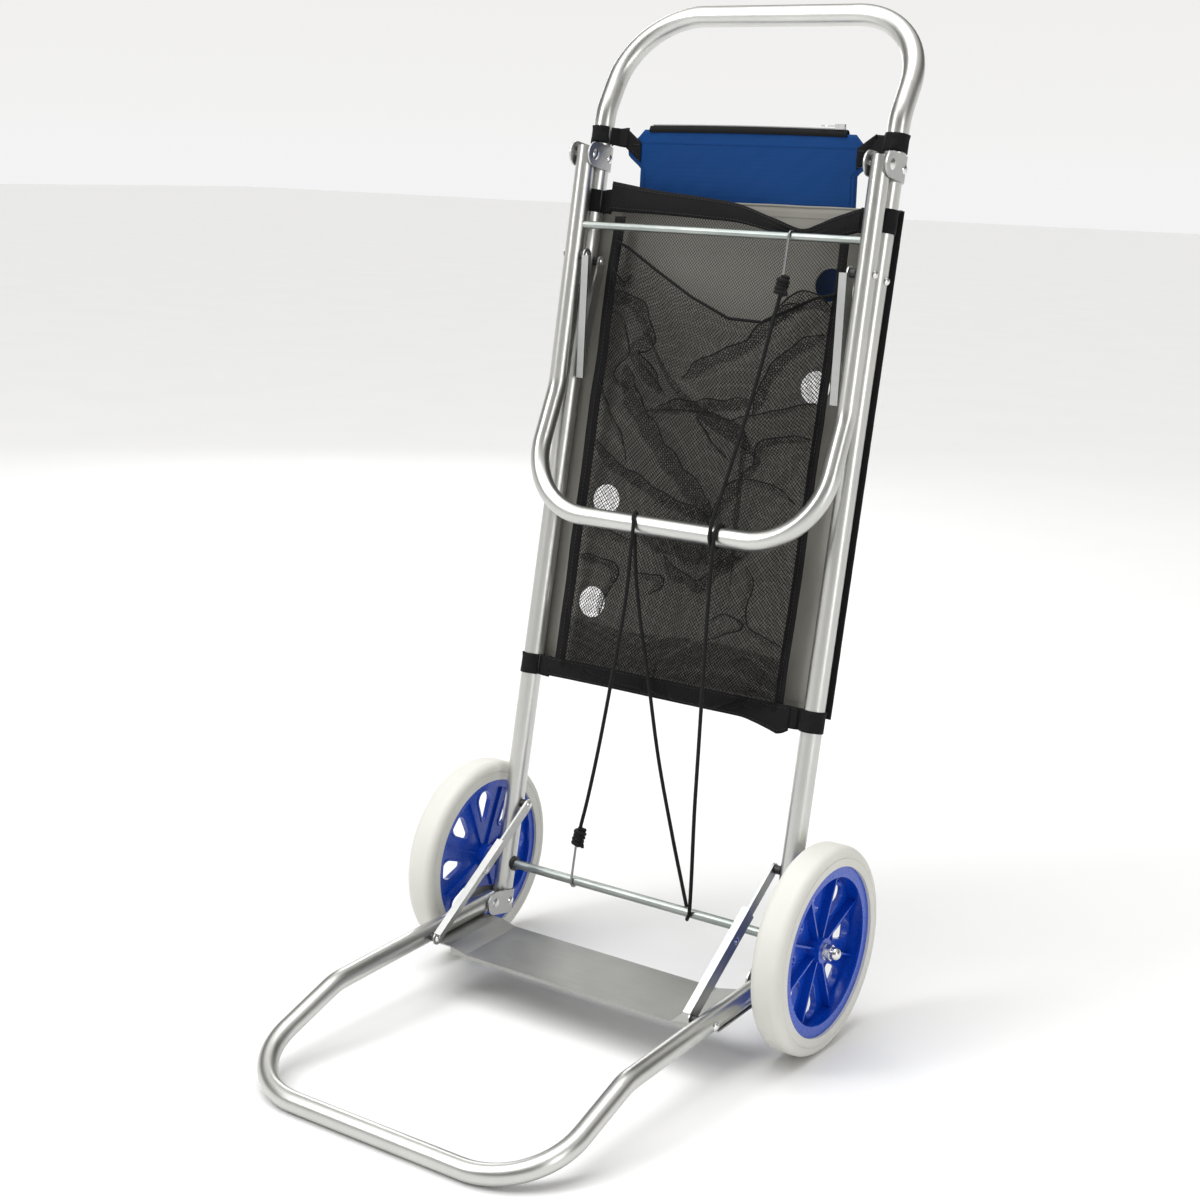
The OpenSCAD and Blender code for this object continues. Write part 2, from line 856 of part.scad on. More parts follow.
// Pull tab with a cross pin that turns in the slider
module zip_puller() {
  z = pouch_top + zip_h + 3 * pin_play + 3;
  color(silver) {
    translate([slider_x, zip_y - 2.9, z]) rotate([-90, 0, 0]) cylinder(h = 5.8, r = 1);
    difference() {
      union() {
        translate([slider_x - 16, zip_y - 0.8, z - 0.7]) cube([16, 1.6, 1.4]);
        translate([slider_x - 18, zip_y, z - 0.7]) cylinder(h = 1.4, r = 4);
      }
      translate([slider_x - 18, zip_y, z - 1]) cylinder(h = 2, r = 2);
    }
  }
}

module pouch_straps() {
  color(black) leg_frame() translate([0, 0, 793]) both_sides() leg_loop(pouch_tab + 0.4, 8.5, 18);
}

// Elastic cord, as [across, forward, up] points in the leg's frame

cord_r = cord_d / 2;
front_bend_z = front_run + bend_r * sin(front_bend) + front_loop * cos(front_bend);
front_bend_y = bend_r * (1 - cos(front_bend)) + front_loop * sin(front_bend);
bar_f = hinge_out - front_bend_z * sin(hinge_rest) + front_bend_y * cos(hinge_rest);
bar_s = front_hinge - front_bend_z * cos(hinge_rest) - front_bend_y * sin(hinge_rest);
cross_f = hinge_out - crossbar_at * sin(hinge_rest);
cross_s = front_hinge - crossbar_at * cos(hinge_rest);
wrap_bar = sub_r + cord_r + 0.3;
wrap_rod = axle_r + cord_r + 0.3;
knot_h = 14;
hook_r = 1.25;
hook_top_x = 87;
hook_low_x = -82;
knot_top = [87, 31, 652];
knot_low = [-78, 9, 50];

function turn(x0, x1, f, s, r, a0, a1, n) = [
  for (i = [0:n]) let (t = i / n, a = a0 + (a1 - a0) * t)
    [x0 + (x1 - x0) * t, f + r * cos(a), s + r * sin(a)]
];

cord_route = concat(
  [[87, 31, 644.2], [85, 34, 620], [81, 42, 560], [76, 52, 500], [70, 62, 440], [66, 66, 412]],
  turn(65, 71, bar_f, bar_s, wrap_bar, 15, -360, 14),
  [[71, 66, 370], [71, 60, 320], [71, 50, 250], [70, 38, 180], [69, 26, 110], [69, 14, 45], [69, 9, 15]],
  turn(69, 58, 0, 0, wrap_rod, 0, -180, 6),
  [[47, -5, 30], [33, 2, 75], [10, 13, 153], [-10, 24, 237], [-23, 31, 290], [-34, 38, 345]],
  turn(-40, -26, bar_f, bar_s, wrap_bar, 180, 0, 8),
  [[-26, 66, 370], [-29, 58, 310], [-40, 46, 235], [-52, 34, 160], [-66, 20, 100], [-76, 11, 65], [-78, 9, 58]]
);

function unit(v) = v / norm(v);

function heading(points, i) = unit(points[min(i + 1, len(points) - 1)] - points[max(i - 1, 0)]);

function cord_ring(points, i, sides) = let (
    t = heading(points, i),
    a = unit([1, 0, 0] - t[0] * t),
    b = cross(t, a)
  ) [for (k = [0:sides - 1]) points[i] + cord_r * (cos(360 * k / sides) * a + sin(360 * k / sides) * b)];

module sweep(points, sides) {
  rings = [for (i = [0:len(points) - 1]) each cord_ring(points, i, sides)];
  last = (len(points) - 1) * sides;
  walls = [
    for (i = [0:len(points) - 2]) for (k = [0:sides - 1])
      let (a = i * sides + k, b = i * sides + (k + 1) % sides)
        each [[a, b, b + sides], [a, b + sides, a + sides]]
  ];
  ends = [
    [for (k = [sides - 1:-1:0]) k],
    [for (k = [0:sides - 1]) last + k]
  ];
  polyhedron(points = rings, faces = concat(walls, ends), convexity = 10);
}

module bungee_cord() {
  color(black) leg_frame() sweep([for (p = cord_route) [p[0], -p[1], p[2]]], 8);
}

module knot(at) {
  translate([at[0], -at[1], at[2]]) intersection() {
    sphere(r = 7.5);
    cylinder(h = knot_h, r = 8, center = true);
    cylinder(h = 20, r = 5.5, center = true);
  }
}

module bungee_knot_top() {
  color(black) leg_frame() knot(knot_top);
}

module bungee_knot_low() {
  color(black) leg_frame() knot(knot_low);
}

// Wire hook over a rod of radius r, open at the front, with a straight shank of a given height
module wire_hook(r, shank) {
  loop = r + hook_r + 0.2;
  rotate([90, 0, 90]) {
    rotate_extrude(angle = 200) translate([loop, 0]) circle(hook_r, $fn = 24);
    translate([loop, 0, 0]) rotate([90, 0, 0]) cylinder(h = shank, r = hook_r, $fn = 24);
  }
}

module bungee_hook_top() {
  color(grey) leg_frame() translate([hook_top_x, -cross_f, cross_s]) rotate([0, 0, 180])
    wire_hook(crossbar_r, cross_s - knot_top[2] - knot_h / 2 - 0.1);
}

module bungee_hook_low() {
  color(grey) leg_frame() translate([hook_low_x, 0, 0]) rotate([180, 0, 0])
    wire_hook(axle_r, knot_low[2] - knot_h / 2 - 0.1);
}

main_tube();
top_bracket_left();
top_bracket_right();
bottom_bracket_left();
bottom_bracket_right();
bracket_rivets();
hinge_pins_base();
hinge_pins_front();
leg_bolts();
leg_spacers();
axle_rod();
axle_grommets();
wheel_spacers();
wheel_washers();
cap_nuts();
wheel_hub_left();
wheel_hub_right();
tyre_left();
tyre_right();
hub_bush_left();
hub_bush_right();
base_tube();
shelf_tray();
shelf_rivets();
base_bolts();
base_spacers();
brace_link_left();
brace_link_right();
brace_angle_left();
brace_angle_right();
brace_rivet_left();
brace_rivet_right();
front_tube();
crossbar();
front_bolts();
front_spacers();
stay_link_left();
stay_link_right();
stay_angle_left();
stay_angle_right();
stay_rivet_left();
stay_rivet_right();
back_panel();
panel_binding();
pocket_mesh();
pocket_top_hem();
pocket_bottom_hem();
pocket_side_tapes();
pocket_straps();
pouch();
pouch_zip();
zip_slider();
zip_puller();
pouch_straps();
bungee_cord();
bungee_knot_top();
bungee_knot_low();
bungee_hook_top();
bungee_hook_low();
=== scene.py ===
import bpy
import math
import numpy as np
from mathutils import Matrix, Vector


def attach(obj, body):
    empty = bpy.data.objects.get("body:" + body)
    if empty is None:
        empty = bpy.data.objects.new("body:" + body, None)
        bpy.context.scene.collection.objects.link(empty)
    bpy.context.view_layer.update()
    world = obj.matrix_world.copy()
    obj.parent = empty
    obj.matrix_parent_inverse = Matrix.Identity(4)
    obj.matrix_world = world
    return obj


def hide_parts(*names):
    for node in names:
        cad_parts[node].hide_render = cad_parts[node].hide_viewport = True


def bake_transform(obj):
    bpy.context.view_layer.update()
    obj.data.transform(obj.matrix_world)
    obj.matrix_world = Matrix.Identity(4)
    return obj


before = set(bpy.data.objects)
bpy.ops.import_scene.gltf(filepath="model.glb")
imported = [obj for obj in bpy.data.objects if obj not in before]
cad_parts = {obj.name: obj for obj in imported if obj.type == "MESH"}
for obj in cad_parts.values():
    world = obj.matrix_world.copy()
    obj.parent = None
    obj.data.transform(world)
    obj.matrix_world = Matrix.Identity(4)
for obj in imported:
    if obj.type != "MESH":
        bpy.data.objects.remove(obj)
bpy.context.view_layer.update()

LEAN = math.radians(10.3)
CL, SL = math.cos(LEAN), math.sin(LEAN)
AXLE_Y, AXLE_Z = 0.106168, 0.1075
LEG_X = 0.175
POUCH_Y, POUCH_TOP = AXLE_Y + 0.148, 0.904


def leg(x, f, s):
    """A point of the leg's frame: across, forward of the legs and up along them, in metres."""
    return Vector((x, AXLE_Y + s * SL - f * CL, AXLE_Z + s * CL + f * SL))


def legs(p):
    """The same for an array of points."""
    p = np.asarray(p, float)
    return np.stack([p[..., 0], AXLE_Y + p[..., 2] * SL - p[..., 1] * CL,
        AXLE_Z + p[..., 2] * CL + p[..., 1] * SL], -1)


# ---------------------------------------------------------------- camera

def camera():
    az, el, roll = math.radians(34.10), math.radians(12.78), math.radians(1.97)
    back = Vector((math.sin(az) * math.cos(el), -math.cos(az) * math.cos(el), math.sin(el)))
    right = Vector((math.cos(az), math.sin(az), 0))
    up = back.cross(right)
    right = math.cos(roll) * right + math.sin(roll) * up
    up = back.cross(right)
    data = bpy.data.cameras.new("camera")
    data.sensor_width = 36
    data.lens = 58.53
    data.shift_x = 0.0005
    data.shift_y = 0.0003
    data.clip_end = 50
    cam = bpy.data.objects.new("camera", data)
    cam.matrix_world = Matrix((
        (right.x, up.x, back.x, 1.0524),
        (right.y, up.y, back.y, -1.6459 + AXLE_Y),
        (right.z, up.z, back.z, 0.8734),
        (0, 0, 0, 1)))
    bpy.context.scene.collection.objects.link(cam)
    bpy.context.scene.camera = cam


camera()


# ---------------------------------------------------------------- materials

def node_tree(name, color=(0.8, 0.8, 0.8), metallic=0.0, rough=0.5, **more):
    m = bpy.data.materials.new(name)
    m.use_nodes = True
    nt = m.node_tree
    b = nt.nodes["Principled BSDF"]
    b.inputs["Base Color"].default_value = (*color, 1)
    b.inputs["Metallic"].default_value = metallic
    b.inputs["Roughness"].default_value = rough
    for k, v in more.items():
        b.inputs[k.replace("_", " ")].default_value = v
    return m, nt, b


def add(nt, kind, **values):
    n = nt.nodes.new(kind)
    for k, v in values.items():
        if k in n.inputs:
            n.inputs[k].default_value = v
        else:
            setattr(n, k, v)
    return n


def coords(nt, scale=(1, 1, 1), kind="Object"):
    tc = add(nt, "ShaderNodeTexCoord")
    mp = add(nt, "ShaderNodeMapping")
    mp.inputs["Scale"].default_value = scale
    nt.links.new(tc.outputs[kind], mp.inputs["Vector"])
    return mp.outputs["Vector"]


def noise(nt, vec, scale, detail=3.0, rough=0.5):
    n = add(nt, "ShaderNodeTexNoise")
    n.inputs["Scale"].default_value = scale
    n.inputs["Detail"].default_value = detail
    n.inputs["Roughness"].default_value = rough
    nt.links.new(vec, n.inputs["Vector"])
    return n.outputs["Fac"]


def span(nt, fac, low, high, a=0.3, b=0.7):
    n = add(nt, "ShaderNodeMapRange")
    n.inputs["From Min"].default_value = a
    n.inputs["From Max"].default_value = b
    n.inputs["To Min"].default_value = low
    n.inputs["To Max"].default_value = high
    nt.links.new(fac, n.inputs["Value"])
    return n.outputs["Result"]


def tint(nt, fac, a, b):
    n = add(nt, "ShaderNodeMix", data_type="RGBA")
    n.inputs["A"].default_value = (*a, 1)
    n.inputs["B"].default_value = (*b, 1)
    nt.links.new(fac, n.inputs["Factor"])
    return n.outputs["Result"]


def bump(nt, shader, height, strength, distance):
    n = add(nt, "ShaderNodeBump")
    n.inputs["Strength"].default_value = strength
    n.inputs["Distance"].default_value = distance
    nt.links.new(height, n.inputs["Height"])
    nt.links.new(n.outputs["Normal"], shader.inputs["Normal"])


def metal(name, a, b, rough, spread, grain=(1, 1, 1), grain_scale=900, depth=0.00002, strength=0.15):
    m, nt, sh = node_tree(name, a, 1.0, rough)
    vec = coords(nt, grain)
    fine = noise(nt, vec, grain_scale, 4)
    broad = noise(nt, coords(nt), 14, 5)
    nt.links.new(tint(nt, span(nt, broad, 0, 1), a, b), sh.inputs["Base Color"])
    nt.links.new(span(nt, fine, rough - spread, rough + spread), sh.inputs["Roughness"])
    bump(nt, sh, fine, strength, depth)
    return m


def plastic(name, a, b, rough, coat=0.0, grain=700, strength=0.12, **more):
    m, nt, sh = node_tree(name, a, 0.0, rough, **more)
    sh.inputs["Coat Weight"].default_value = coat
    sh.inputs["Coat Roughness"].default_value = 0.15
    fine = noise(nt, coords(nt), grain, 4)
    broad = noise(nt, coords(nt), 11, 5)
    nt.links.new(tint(nt, span(nt, broad, 0, 1), a, b), sh.inputs["Base Color"])
    nt.links.new(span(nt, fine, rough - 0.05, rough + 0.05), sh.inputs["Roughness"])
    bump(nt, sh, fine, strength, 0.00008)
    return m


def weave(name, a, b, rough, threads=900, strength=0.5, sheen=0.2, kind="Object", scale=(1, 1, 1)):
    """Plain woven cloth: crossed threads in the height, with a slow change of colour and roughness over the piece.
    """
    m, nt, sh = node_tree(name, a, 0.0, rough)
    sh.inputs["Sheen Weight"].default_value = sheen
    sh.inputs["Sheen Roughness"].default_value = 0.5
    sh.inputs["Specular IOR Level"].default_value = 0.18
    vec = coords(nt, scale, kind)
    parts = []
    for axis in ("X", "Z"):
        w = add(nt, "ShaderNodeTexWave", wave_type="BANDS", bands_direction=axis, wave_profile="SIN")
        w.inputs["Scale"].default_value = threads / 20
        w.inputs["Distortion"].default_value = 0.4
        nt.links.new(vec, w.inputs["Vector"])
        parts.append(w.outputs["Fac"])
    both = add(nt, "ShaderNodeMath", operation="MAXIMUM")
    nt.links.new(parts[0], both.inputs[0])
    nt.links.new(parts[1], both.inputs[1])
    broad = noise(nt, vec, 9, 5)
    nt.links.new(tint(nt, span(nt, broad, 0, 1), a, b), sh.inputs["Base Color"])
    nt.links.new(span(nt, broad, rough - 0.06, rough + 0.06), sh.inputs["Roughness"])
    bump(nt, sh, both.outputs["Value"], strength, 0.0002)
    return m


MATS = {
    "tube": metal("tube", (0.56, 0.565, 0.545), (0.63, 0.63, 0.605), 0.33, 0.03, (1, 1, 0.05), 700,
        0.00001, 0.05),
    "sheet": metal("sheet", (0.38, 0.38, 0.365), (0.43, 0.43, 0.415), 0.5, 0.05, (0.05, 1, 1), 600,
        0.00001, 0.08),
    "plate": metal("plate", (0.43, 0.44, 0.43), (0.52, 0.52, 0.51), 0.40, 0.08, (1, 1, 1), 400),
    "bright": metal("bright", (0.70, 0.70, 0.69), (0.78, 0.78, 0.77), 0.22, 0.06, (1, 1, 1), 500),
    "zinc": metal("zinc", (0.30, 0.335, 0.32), (0.42, 0.44, 0.42), 0.38, 0.08, (0.1, 1, 1), 500),
    "wire": metal("wire", (0.24, 0.24, 0.24), (0.33, 0.33, 0.33), 0.35, 0.08, (1, 1, 1), 500),
    "chrome": metal("chrome", (0.62, 0.62, 0.62), (0.72, 0.72, 0.72), 0.15, 0.05, (1, 1, 1), 500),
    "blue": plastic("blue", (0.0, 0.050, 0.44), (0.0, 0.062, 0.50), 0.3, 0.3),
    "tyre": plastic("tyre", (0.63, 0.625, 0.58), (0.68, 0.675, 0.63), 0.55, 0.0, 500, 0.25),
    "bush": plastic("bush", (0.42, 0.43, 0.42), (0.5, 0.5, 0.49), 0.45),
    "black": plastic("black", (0.012, 0.012, 0.013), (0.02, 0.02, 0.021), 0.45),
    "panel": weave("panel", (0.235, 0.228, 0.203), (0.28, 0.27, 0.242), 0.75, 1000, 0.35, 0.15),
    "pouch": weave("pouch", (0.0, 0.036, 0.155), (0.0, 0.046, 0.185), 0.65, 1300, 0.35, 0.0),
    "tape": weave("tape", (0.0035, 0.0035, 0.004), (0.0065, 0.0065, 0.007), 0.75, 1200, 0.6, 0.02),
    "net": weave("net", (0.003, 0.003, 0.003), (0.006, 0.006, 0.006), 0.65, 1500, 0.2, 0.02),
    "cord": weave("cord", (0.004, 0.004, 0.004), (0.009, 0.009, 0.009), 0.7, 2600, 0.9, 0.05),
}

CAD_MATERIALS = {
    "tube": ["main_tube", "base_tube", "front_tube"],
    "sheet": ["shelf_tray"],
    "plate": ["top_bracket_left", "top_bracket_right", "bottom_bracket_left", "bottom_bracket_right",
              "brace_link_left", "brace_link_right", "brace_angle_left", "brace_angle_right",
              "stay_link_left", "stay_link_right", "stay_angle_left", "stay_angle_right"],
    "bright": ["bracket_rivets", "hinge_pins_base", "hinge_pins_front", "leg_bolts", "base_bolts",
        "front_bolts",
               "shelf_rivets", "brace_rivet_left", "brace_rivet_right", "stay_rivet_left", "stay_rivet_right",
               "wheel_washers", "cap_nuts"],
    "zinc": ["axle_rod", "wheel_spacers", "crossbar"],
    # the axle grommets' black is painted shade: it stands in for the shadow inside the legs' axle holes round the
    # rod
    "black": ["leg_spacers", "base_spacers", "front_spacers", "axle_grommets"],
    "blue": ["wheel_hub_left", "wheel_hub_right"],
    "bush": ["hub_bush_left", "hub_bush_right"],
    "tyre": ["tyre_left", "tyre_right"],
    "wire": ["bungee_hook_top", "bungee_hook_low"],
    "chrome": ["zip_slider", "zip_puller"],
}
for key, names in CAD_MATERIALS.items():
    for n in names:
        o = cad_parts[n]
        o.data.materials.clear()
        o.data.materials.append(MATS[key])


# ---------------------------------------------------------------- mesh helpers

def make(name, verts, faces, mat, smooth=True):
    me = bpy.data.meshes.new(name)
    me.from_pydata([tuple(v) for v in verts], [], [tuple(f) for f in faces])
    me.update()
    me.materials.append(MATS[mat])
    o = bpy.data.objects.new(name, me)
    bpy.context.scene.collection.objects.link(o)
    if smooth:
        me.polygons.foreach_set("use_smooth", [True] * len(me.polygons))
    return o


def grid_faces(nu, nv):
    i, j = np.meshgrid(np.arange(nu - 1), np.arange(nv - 1), indexing="ij")
    a = (i * nv + j).ravel()
    return np.stack([a, a + nv, a + nv + 1, a + 1], -1)


def noise_field(x, y, seed, scale):
    """Smooth made-up unevenness: a sum of a few waves with seeded directions."""
    rng = np.random.default_rng(seed)
    out = np.zeros_like(np.asarray(x, float) + np.asarray(y, float))
    for k in range(7):
        ang = rng.uniform(0, math.tau)
        f = scale * rng.uniform(0.6, 2.2)
        out = out + np.sin(f * (np.cos(ang) * x + np.sin(ang) * y) + rng.uniform(0, math.tau)) / (1 + 0.4 * k)
    return out / 3


def thick(pts, normal, t):
    """A closed slab of vertices and faces from a grid of middle points [nu, nv, 3] and their normals."""
    nu, nv = pts.shape[:2]
    a = (pts + normal * t / 2).reshape(-1, 3)
    b = (pts - normal * t / 2).reshape(-1, 3)
    n = nu * nv
    f = grid_faces(nu, nv)
    faces = [tuple(q) for q in f] + [tuple(int(v) + n for v in q[::-1]) for q in f]
    ring = ([i * nv for i in range(nu)] + [(nu - 1) * nv + j for j in range(1, nv)]
            + [i * nv + nv - 1 for i in range(nu - 2, -1, -1)] + [j for j in range(nv - 2, 0, -1)])
    for k in range(len(ring)):
        p, q = ring[k], ring[(k + 1) % len(ring)]
        faces.append((q, p, p + n, q + n))
    return np.vstack([a, b]), faces


def grid_normals(p):
    du = np.gradient(p, axis=0)
    dv = np.gradient(p, axis=1)
    n = np.cross(du, dv)
    return n / np.maximum(np.linalg.norm(n, axis=-1, keepdims=True), 1e-12)


def sweep(name, points, radius, sides, mat, closed=False, ends=True):
    """A tube along points with a frame that doesn't twist. radius is one number or one a point."""
    p = np.asarray(points, float)
    n = len(p)
    r = np.broadcast_to(np.asarray(radius, float), (n,))
    t = np.gradient(p, axis=0) if not closed else np.roll(p, -1, 0) - np.roll(p, 1, 0)
    t /= np.linalg.norm(t, axis=1, keepdims=True)
    ref = np.array([0, 0, 1.0]) if abs(t[0][2]) < 0.9 else np.array([1.0, 0, 0])
    u = np.cross(t[0], ref)
    u /= np.linalg.norm(u)
    verts = []
    for i in range(n):
        u = u - np.dot(u, t[i]) * t[i]
        u /= np.linalg.norm(u)
        w = np.cross(t[i], u)
        for k in range(sides):
            a = math.tau * k / sides
            verts.append(p[i] + r[i] * (math.cos(a) * u + math.sin(a) * w))
    faces = []
    for i in range(n if closed else n - 1):
        for k in range(sides):
            a, b = i * sides + k, i * sides + (k + 1) % sides
            c, d = ((i + 1) % n) * sides + (k + 1) % sides, ((i + 1) % n) * sides + k
            faces.append((a, b, c, d))
    if ends and not closed:
        faces.append(tuple(range(sides))[::-1])
        faces.append(tuple((n - 1) * sides + k for k in range(sides)))
    return make(name, verts, faces, mat)


def smooth_line(points, step):
    """A Catmull-Rom curve through points, sampled about every step metres."""
    p = np.asarray(points, float)
    e = np.vstack([2 * p[0] - p[1], p, 2 * p[-1] - p[-2]])
    out = []
    for i in range(1, len(e) - 2):
        a, b, c, d = e[i - 1:i + 3]
        m = max(2, int(np.linalg.norm(c - b) / step))
        for k in range(m):
            t = k / m
            out.append(0.5 * (2 * b + (c - a) * t + (2 * a - 5 * b + 4 * c - d) * t ** 2 + (3 * b - a - 3 * c + d) * t ** 3))
    out.append(p[-1])
    return np.array(out)


# ---------------------------------------------------------------- stage

def stage():
    w = bpy.data.worlds.new("world")
    bpy.context.scene.world = w
    w.use_nodes = True
    nt = w.node_tree
    tc = add(nt, "ShaderNodeTexCoord")
    sep = add(nt, "ShaderNodeSeparateXYZ")
    nt.links.new(tc.outputs["Generated"], sep.inputs["Vector"])
    ramp = add(nt, "ShaderNodeValToRGB")
    e = ramp.color_ramp.elements
    e[0].position, e[0].color = 0.0, (1.0, 1.0, 1.0, 1)
    e[1].position, e[1].color = 0.9, (0.9, 0.9, 0.9, 1)
    for pos, v in ((0.12, 0.96), (0.25, 0.16), (0.55, 0.14), (0.72, 0.75)):
        m = e.new(pos)
        m.color = (v, v * 0.985, v * 0.96, 1)
    nt.links.new(sep.outputs["Z"], ramp.inputs["Fac"])
    nt.links.new(ramp.outputs["Color"], nt.nodes["Background"].inputs["Color"])
    nt.nodes["Background"].inputs["Strength"].default_value = 0.9
    m, nt, sh = node_tree("floor", (0.80, 0.80, 0.80), 0.0, 0.9)
    fine = noise(nt, coords(nt), 3, 4)
    nt.links.new(tint(nt, span(nt, fine, 0, 1), (0.80, 0.80, 0.80), (0.815, 0.815, 0.81)),
        sh.inputs["Base Color"])
    bpy.ops.mesh.primitive_plane_add(size=60, location=(0, 0, -0.0005))
    floor = bpy.context.object
    floor.name = "floor"
    floor.data.materials.append(m)

    def lamp(name, place, aim, size, power, color=(1, 1, 1)):
        d = bpy.data.lights.new(name, "AREA")
        d.shape = "RECTANGLE"
        d.size, d.size_y = size
        d.energy = power
        d.color = color
        o = bpy.data.objects.new(name, d)
        o.location = place
        o.rotation_euler = (Vector(aim) - Vector(place)).to_track_quat("-Z", "Y").to_euler()
        bpy.context.scene.collection.objects.link(o)

    lamp("key", (-1.7, -2.6, 2.6), (0, 0, 0.45), (0.9, 1.8), 44)
    lamp("fill", (3.2, -1.2, 1.5), (0, 0, 0.5), (0.7, 2.0), 22)
    lamp("top", (0.1, 0.2, 3.4), (0, 0, 0.3), (1.6, 1.6), 14)
    lamp("rim", (-2.4, 2.4, 1.8), (0, 0, 0.6), (0.8, 2.0), 18)
    sun = bpy.data.objects.new("sun", bpy.data.lights.new("sun", "SUN"))
    sun.data.energy = 1.7
    sun.data.angle = math.radians(50)
    sun.rotation_euler = (math.radians(14), math.radians(-10), 0)
    bpy.context.scene.collection.objects.link(sun)


stage()
bpy.context.scene.view_settings.view_transform = "Standard"


# ---------------------------------------------------------------- back panel

PANEL_LOW, PANEL_HIGH, PANEL_HALF = 0.228, 0.738, 0.187
HOLES = [(0.117, 0.661), (0.117, 0.557), (-0.117, 0.413), (-0.117, 0.301)]
HOLE_R = 0.017


def panel_depth(x, s):
    """How far behind the legs' line the panel lies, with the slack cloth's slow waves between its bound edges."""
    edge = np.clip((0.160 - np.abs(x)) / 0.05, 0, 1)
    return -0.0137 + edge * 0.0014 * noise_field(x, s, 5, 22)


def panel():
    step = 0.006
    side = 4
    xs = [k * step for k in range(-31, 32)]
    n = round((PANEL_HIGH - PANEL_LOW) / step)
    zs = [PANEL_LOW + (PANEL_HIGH - PANEL_LOW) * k / n for k in range(n + 1)]
    verts = [(x, s) for x in xs for s in zs]
    nz = len(zs)
    cells = {(i, j) for i in range(len(xs) - 1) for j in range(nz - 1)}
    faces = []
    for hx, hs in HOLES:
        ci = min(range(len(xs)), key=lambda i: abs(xs[i] - hx))
        cj = min(range(nz), key=lambda j: abs(zs[j] - hs))
        for i in range(ci - side, ci + side):
            for j in range(cj - side, cj + side):
                cells.discard((i, j))
        loop = ([(ci - side + k, cj - side) for k in range(2 * side)] + [(ci + side,
            cj - side + k) for k in range(2 * side)]
                + [(ci + side - k, cj + side) for k in range(2 * side)] + [(ci - side,
                    cj + side - k) for k in range(2 * side)])
        old = [i * nz + j for i, j in loop]
        for t in (0.5, 1.0):
            new = []
            for i, j in loop:
                dx, ds = xs[i] - hx, zs[j] - hs
                d = math.hypot(dx, ds)
                r = d + (HOLE_R - d) * t
                new.append(len(verts))
                verts.append((hx + dx * r / d, hs + ds * r / d))
            for k in range(len(loop)):
                q = (k + 1) % len(loop)
                faces.append((old[k], old[q], new[q], new[k]))
            old = new
    faces += [(i * nz + j, (i + 1) * nz + j, (i + 1) * nz + j + 1, i * nz + j + 1) for i, j in sorted(cells)]
    v = np.array(verts)
    v[:, 0] = np.clip(v[:, 0], -PANEL_HALF + 0.001, PANEL_HALF - 0.001)
    f = panel_depth(v[:, 0], v[:, 1])
    o = make("panel_cloth", legs(np.stack([v[:, 0], f, v[:, 1]], -1)), faces, "panel")
    m = o.modifiers.new("thickness", "SOLIDIFY")
    m.thickness = 0.001
    m.offset = 0
    bpy.context.view_layer.objects.active = o
    bpy.ops.object.modifier_apply(modifier="thickness")
    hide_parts("back_panel")
    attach(o, "frame")
    return o


def stitches(name, line, normal, pitch=0.0042, length=0.0027, r=0.00028, mat="tape", body="frame"):
    """A row of short thread humps along a line of points."""
    line = np.asarray(line, float)
    seg = np.linalg.norm(np.diff(line, axis=0), axis=1)
    pos = np.concatenate([[0], np.cumsum(seg)])
    normal = np.broadcast_to(np.asarray(normal, float), line.shape)
    verts, faces = [], []

    def at(d):
        return (np.array([np.interp(d, pos, line[:, k]) for k in range(3)]),
                np.array([np.interp(d, pos, normal[:, k]) for k in range(3)]))
    for k in range(int(pos[-1] / pitch)):
        rows = []
        for t in (0, 0.25, 0.5, 0.75, 1.0):
            p, n = at(k * pitch + length * t)
            q, _ = at(k * pitch + length * t + 0.0004)
            d = q - p
            d = d / max(np.linalg.norm(d), 1e-9)
            n = n / np.linalg.norm(n)
            w = np.cross(d, n)
            lift = r * (0.3 + 1.1 * math.sin(math.pi * t))
            rows.append([p + n * lift + r * (math.cos(a) * w + math.sin(a) * n) for a in (0.3, 1.57,
                2.84, 4.2, 5.2)])
        b = len(verts)
        for row in rows:
            verts += row
        for i in range(4):
            for j in range(5):
                a, c = b + i * 5 + j, b + i * 5 + (j + 1) % 5
                faces.append((a, c, c + 5, a + 5))
    o = make(name, verts, faces, mat)
    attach(o, body)
    return o


FRONT = np.array([0, -CL, SL])


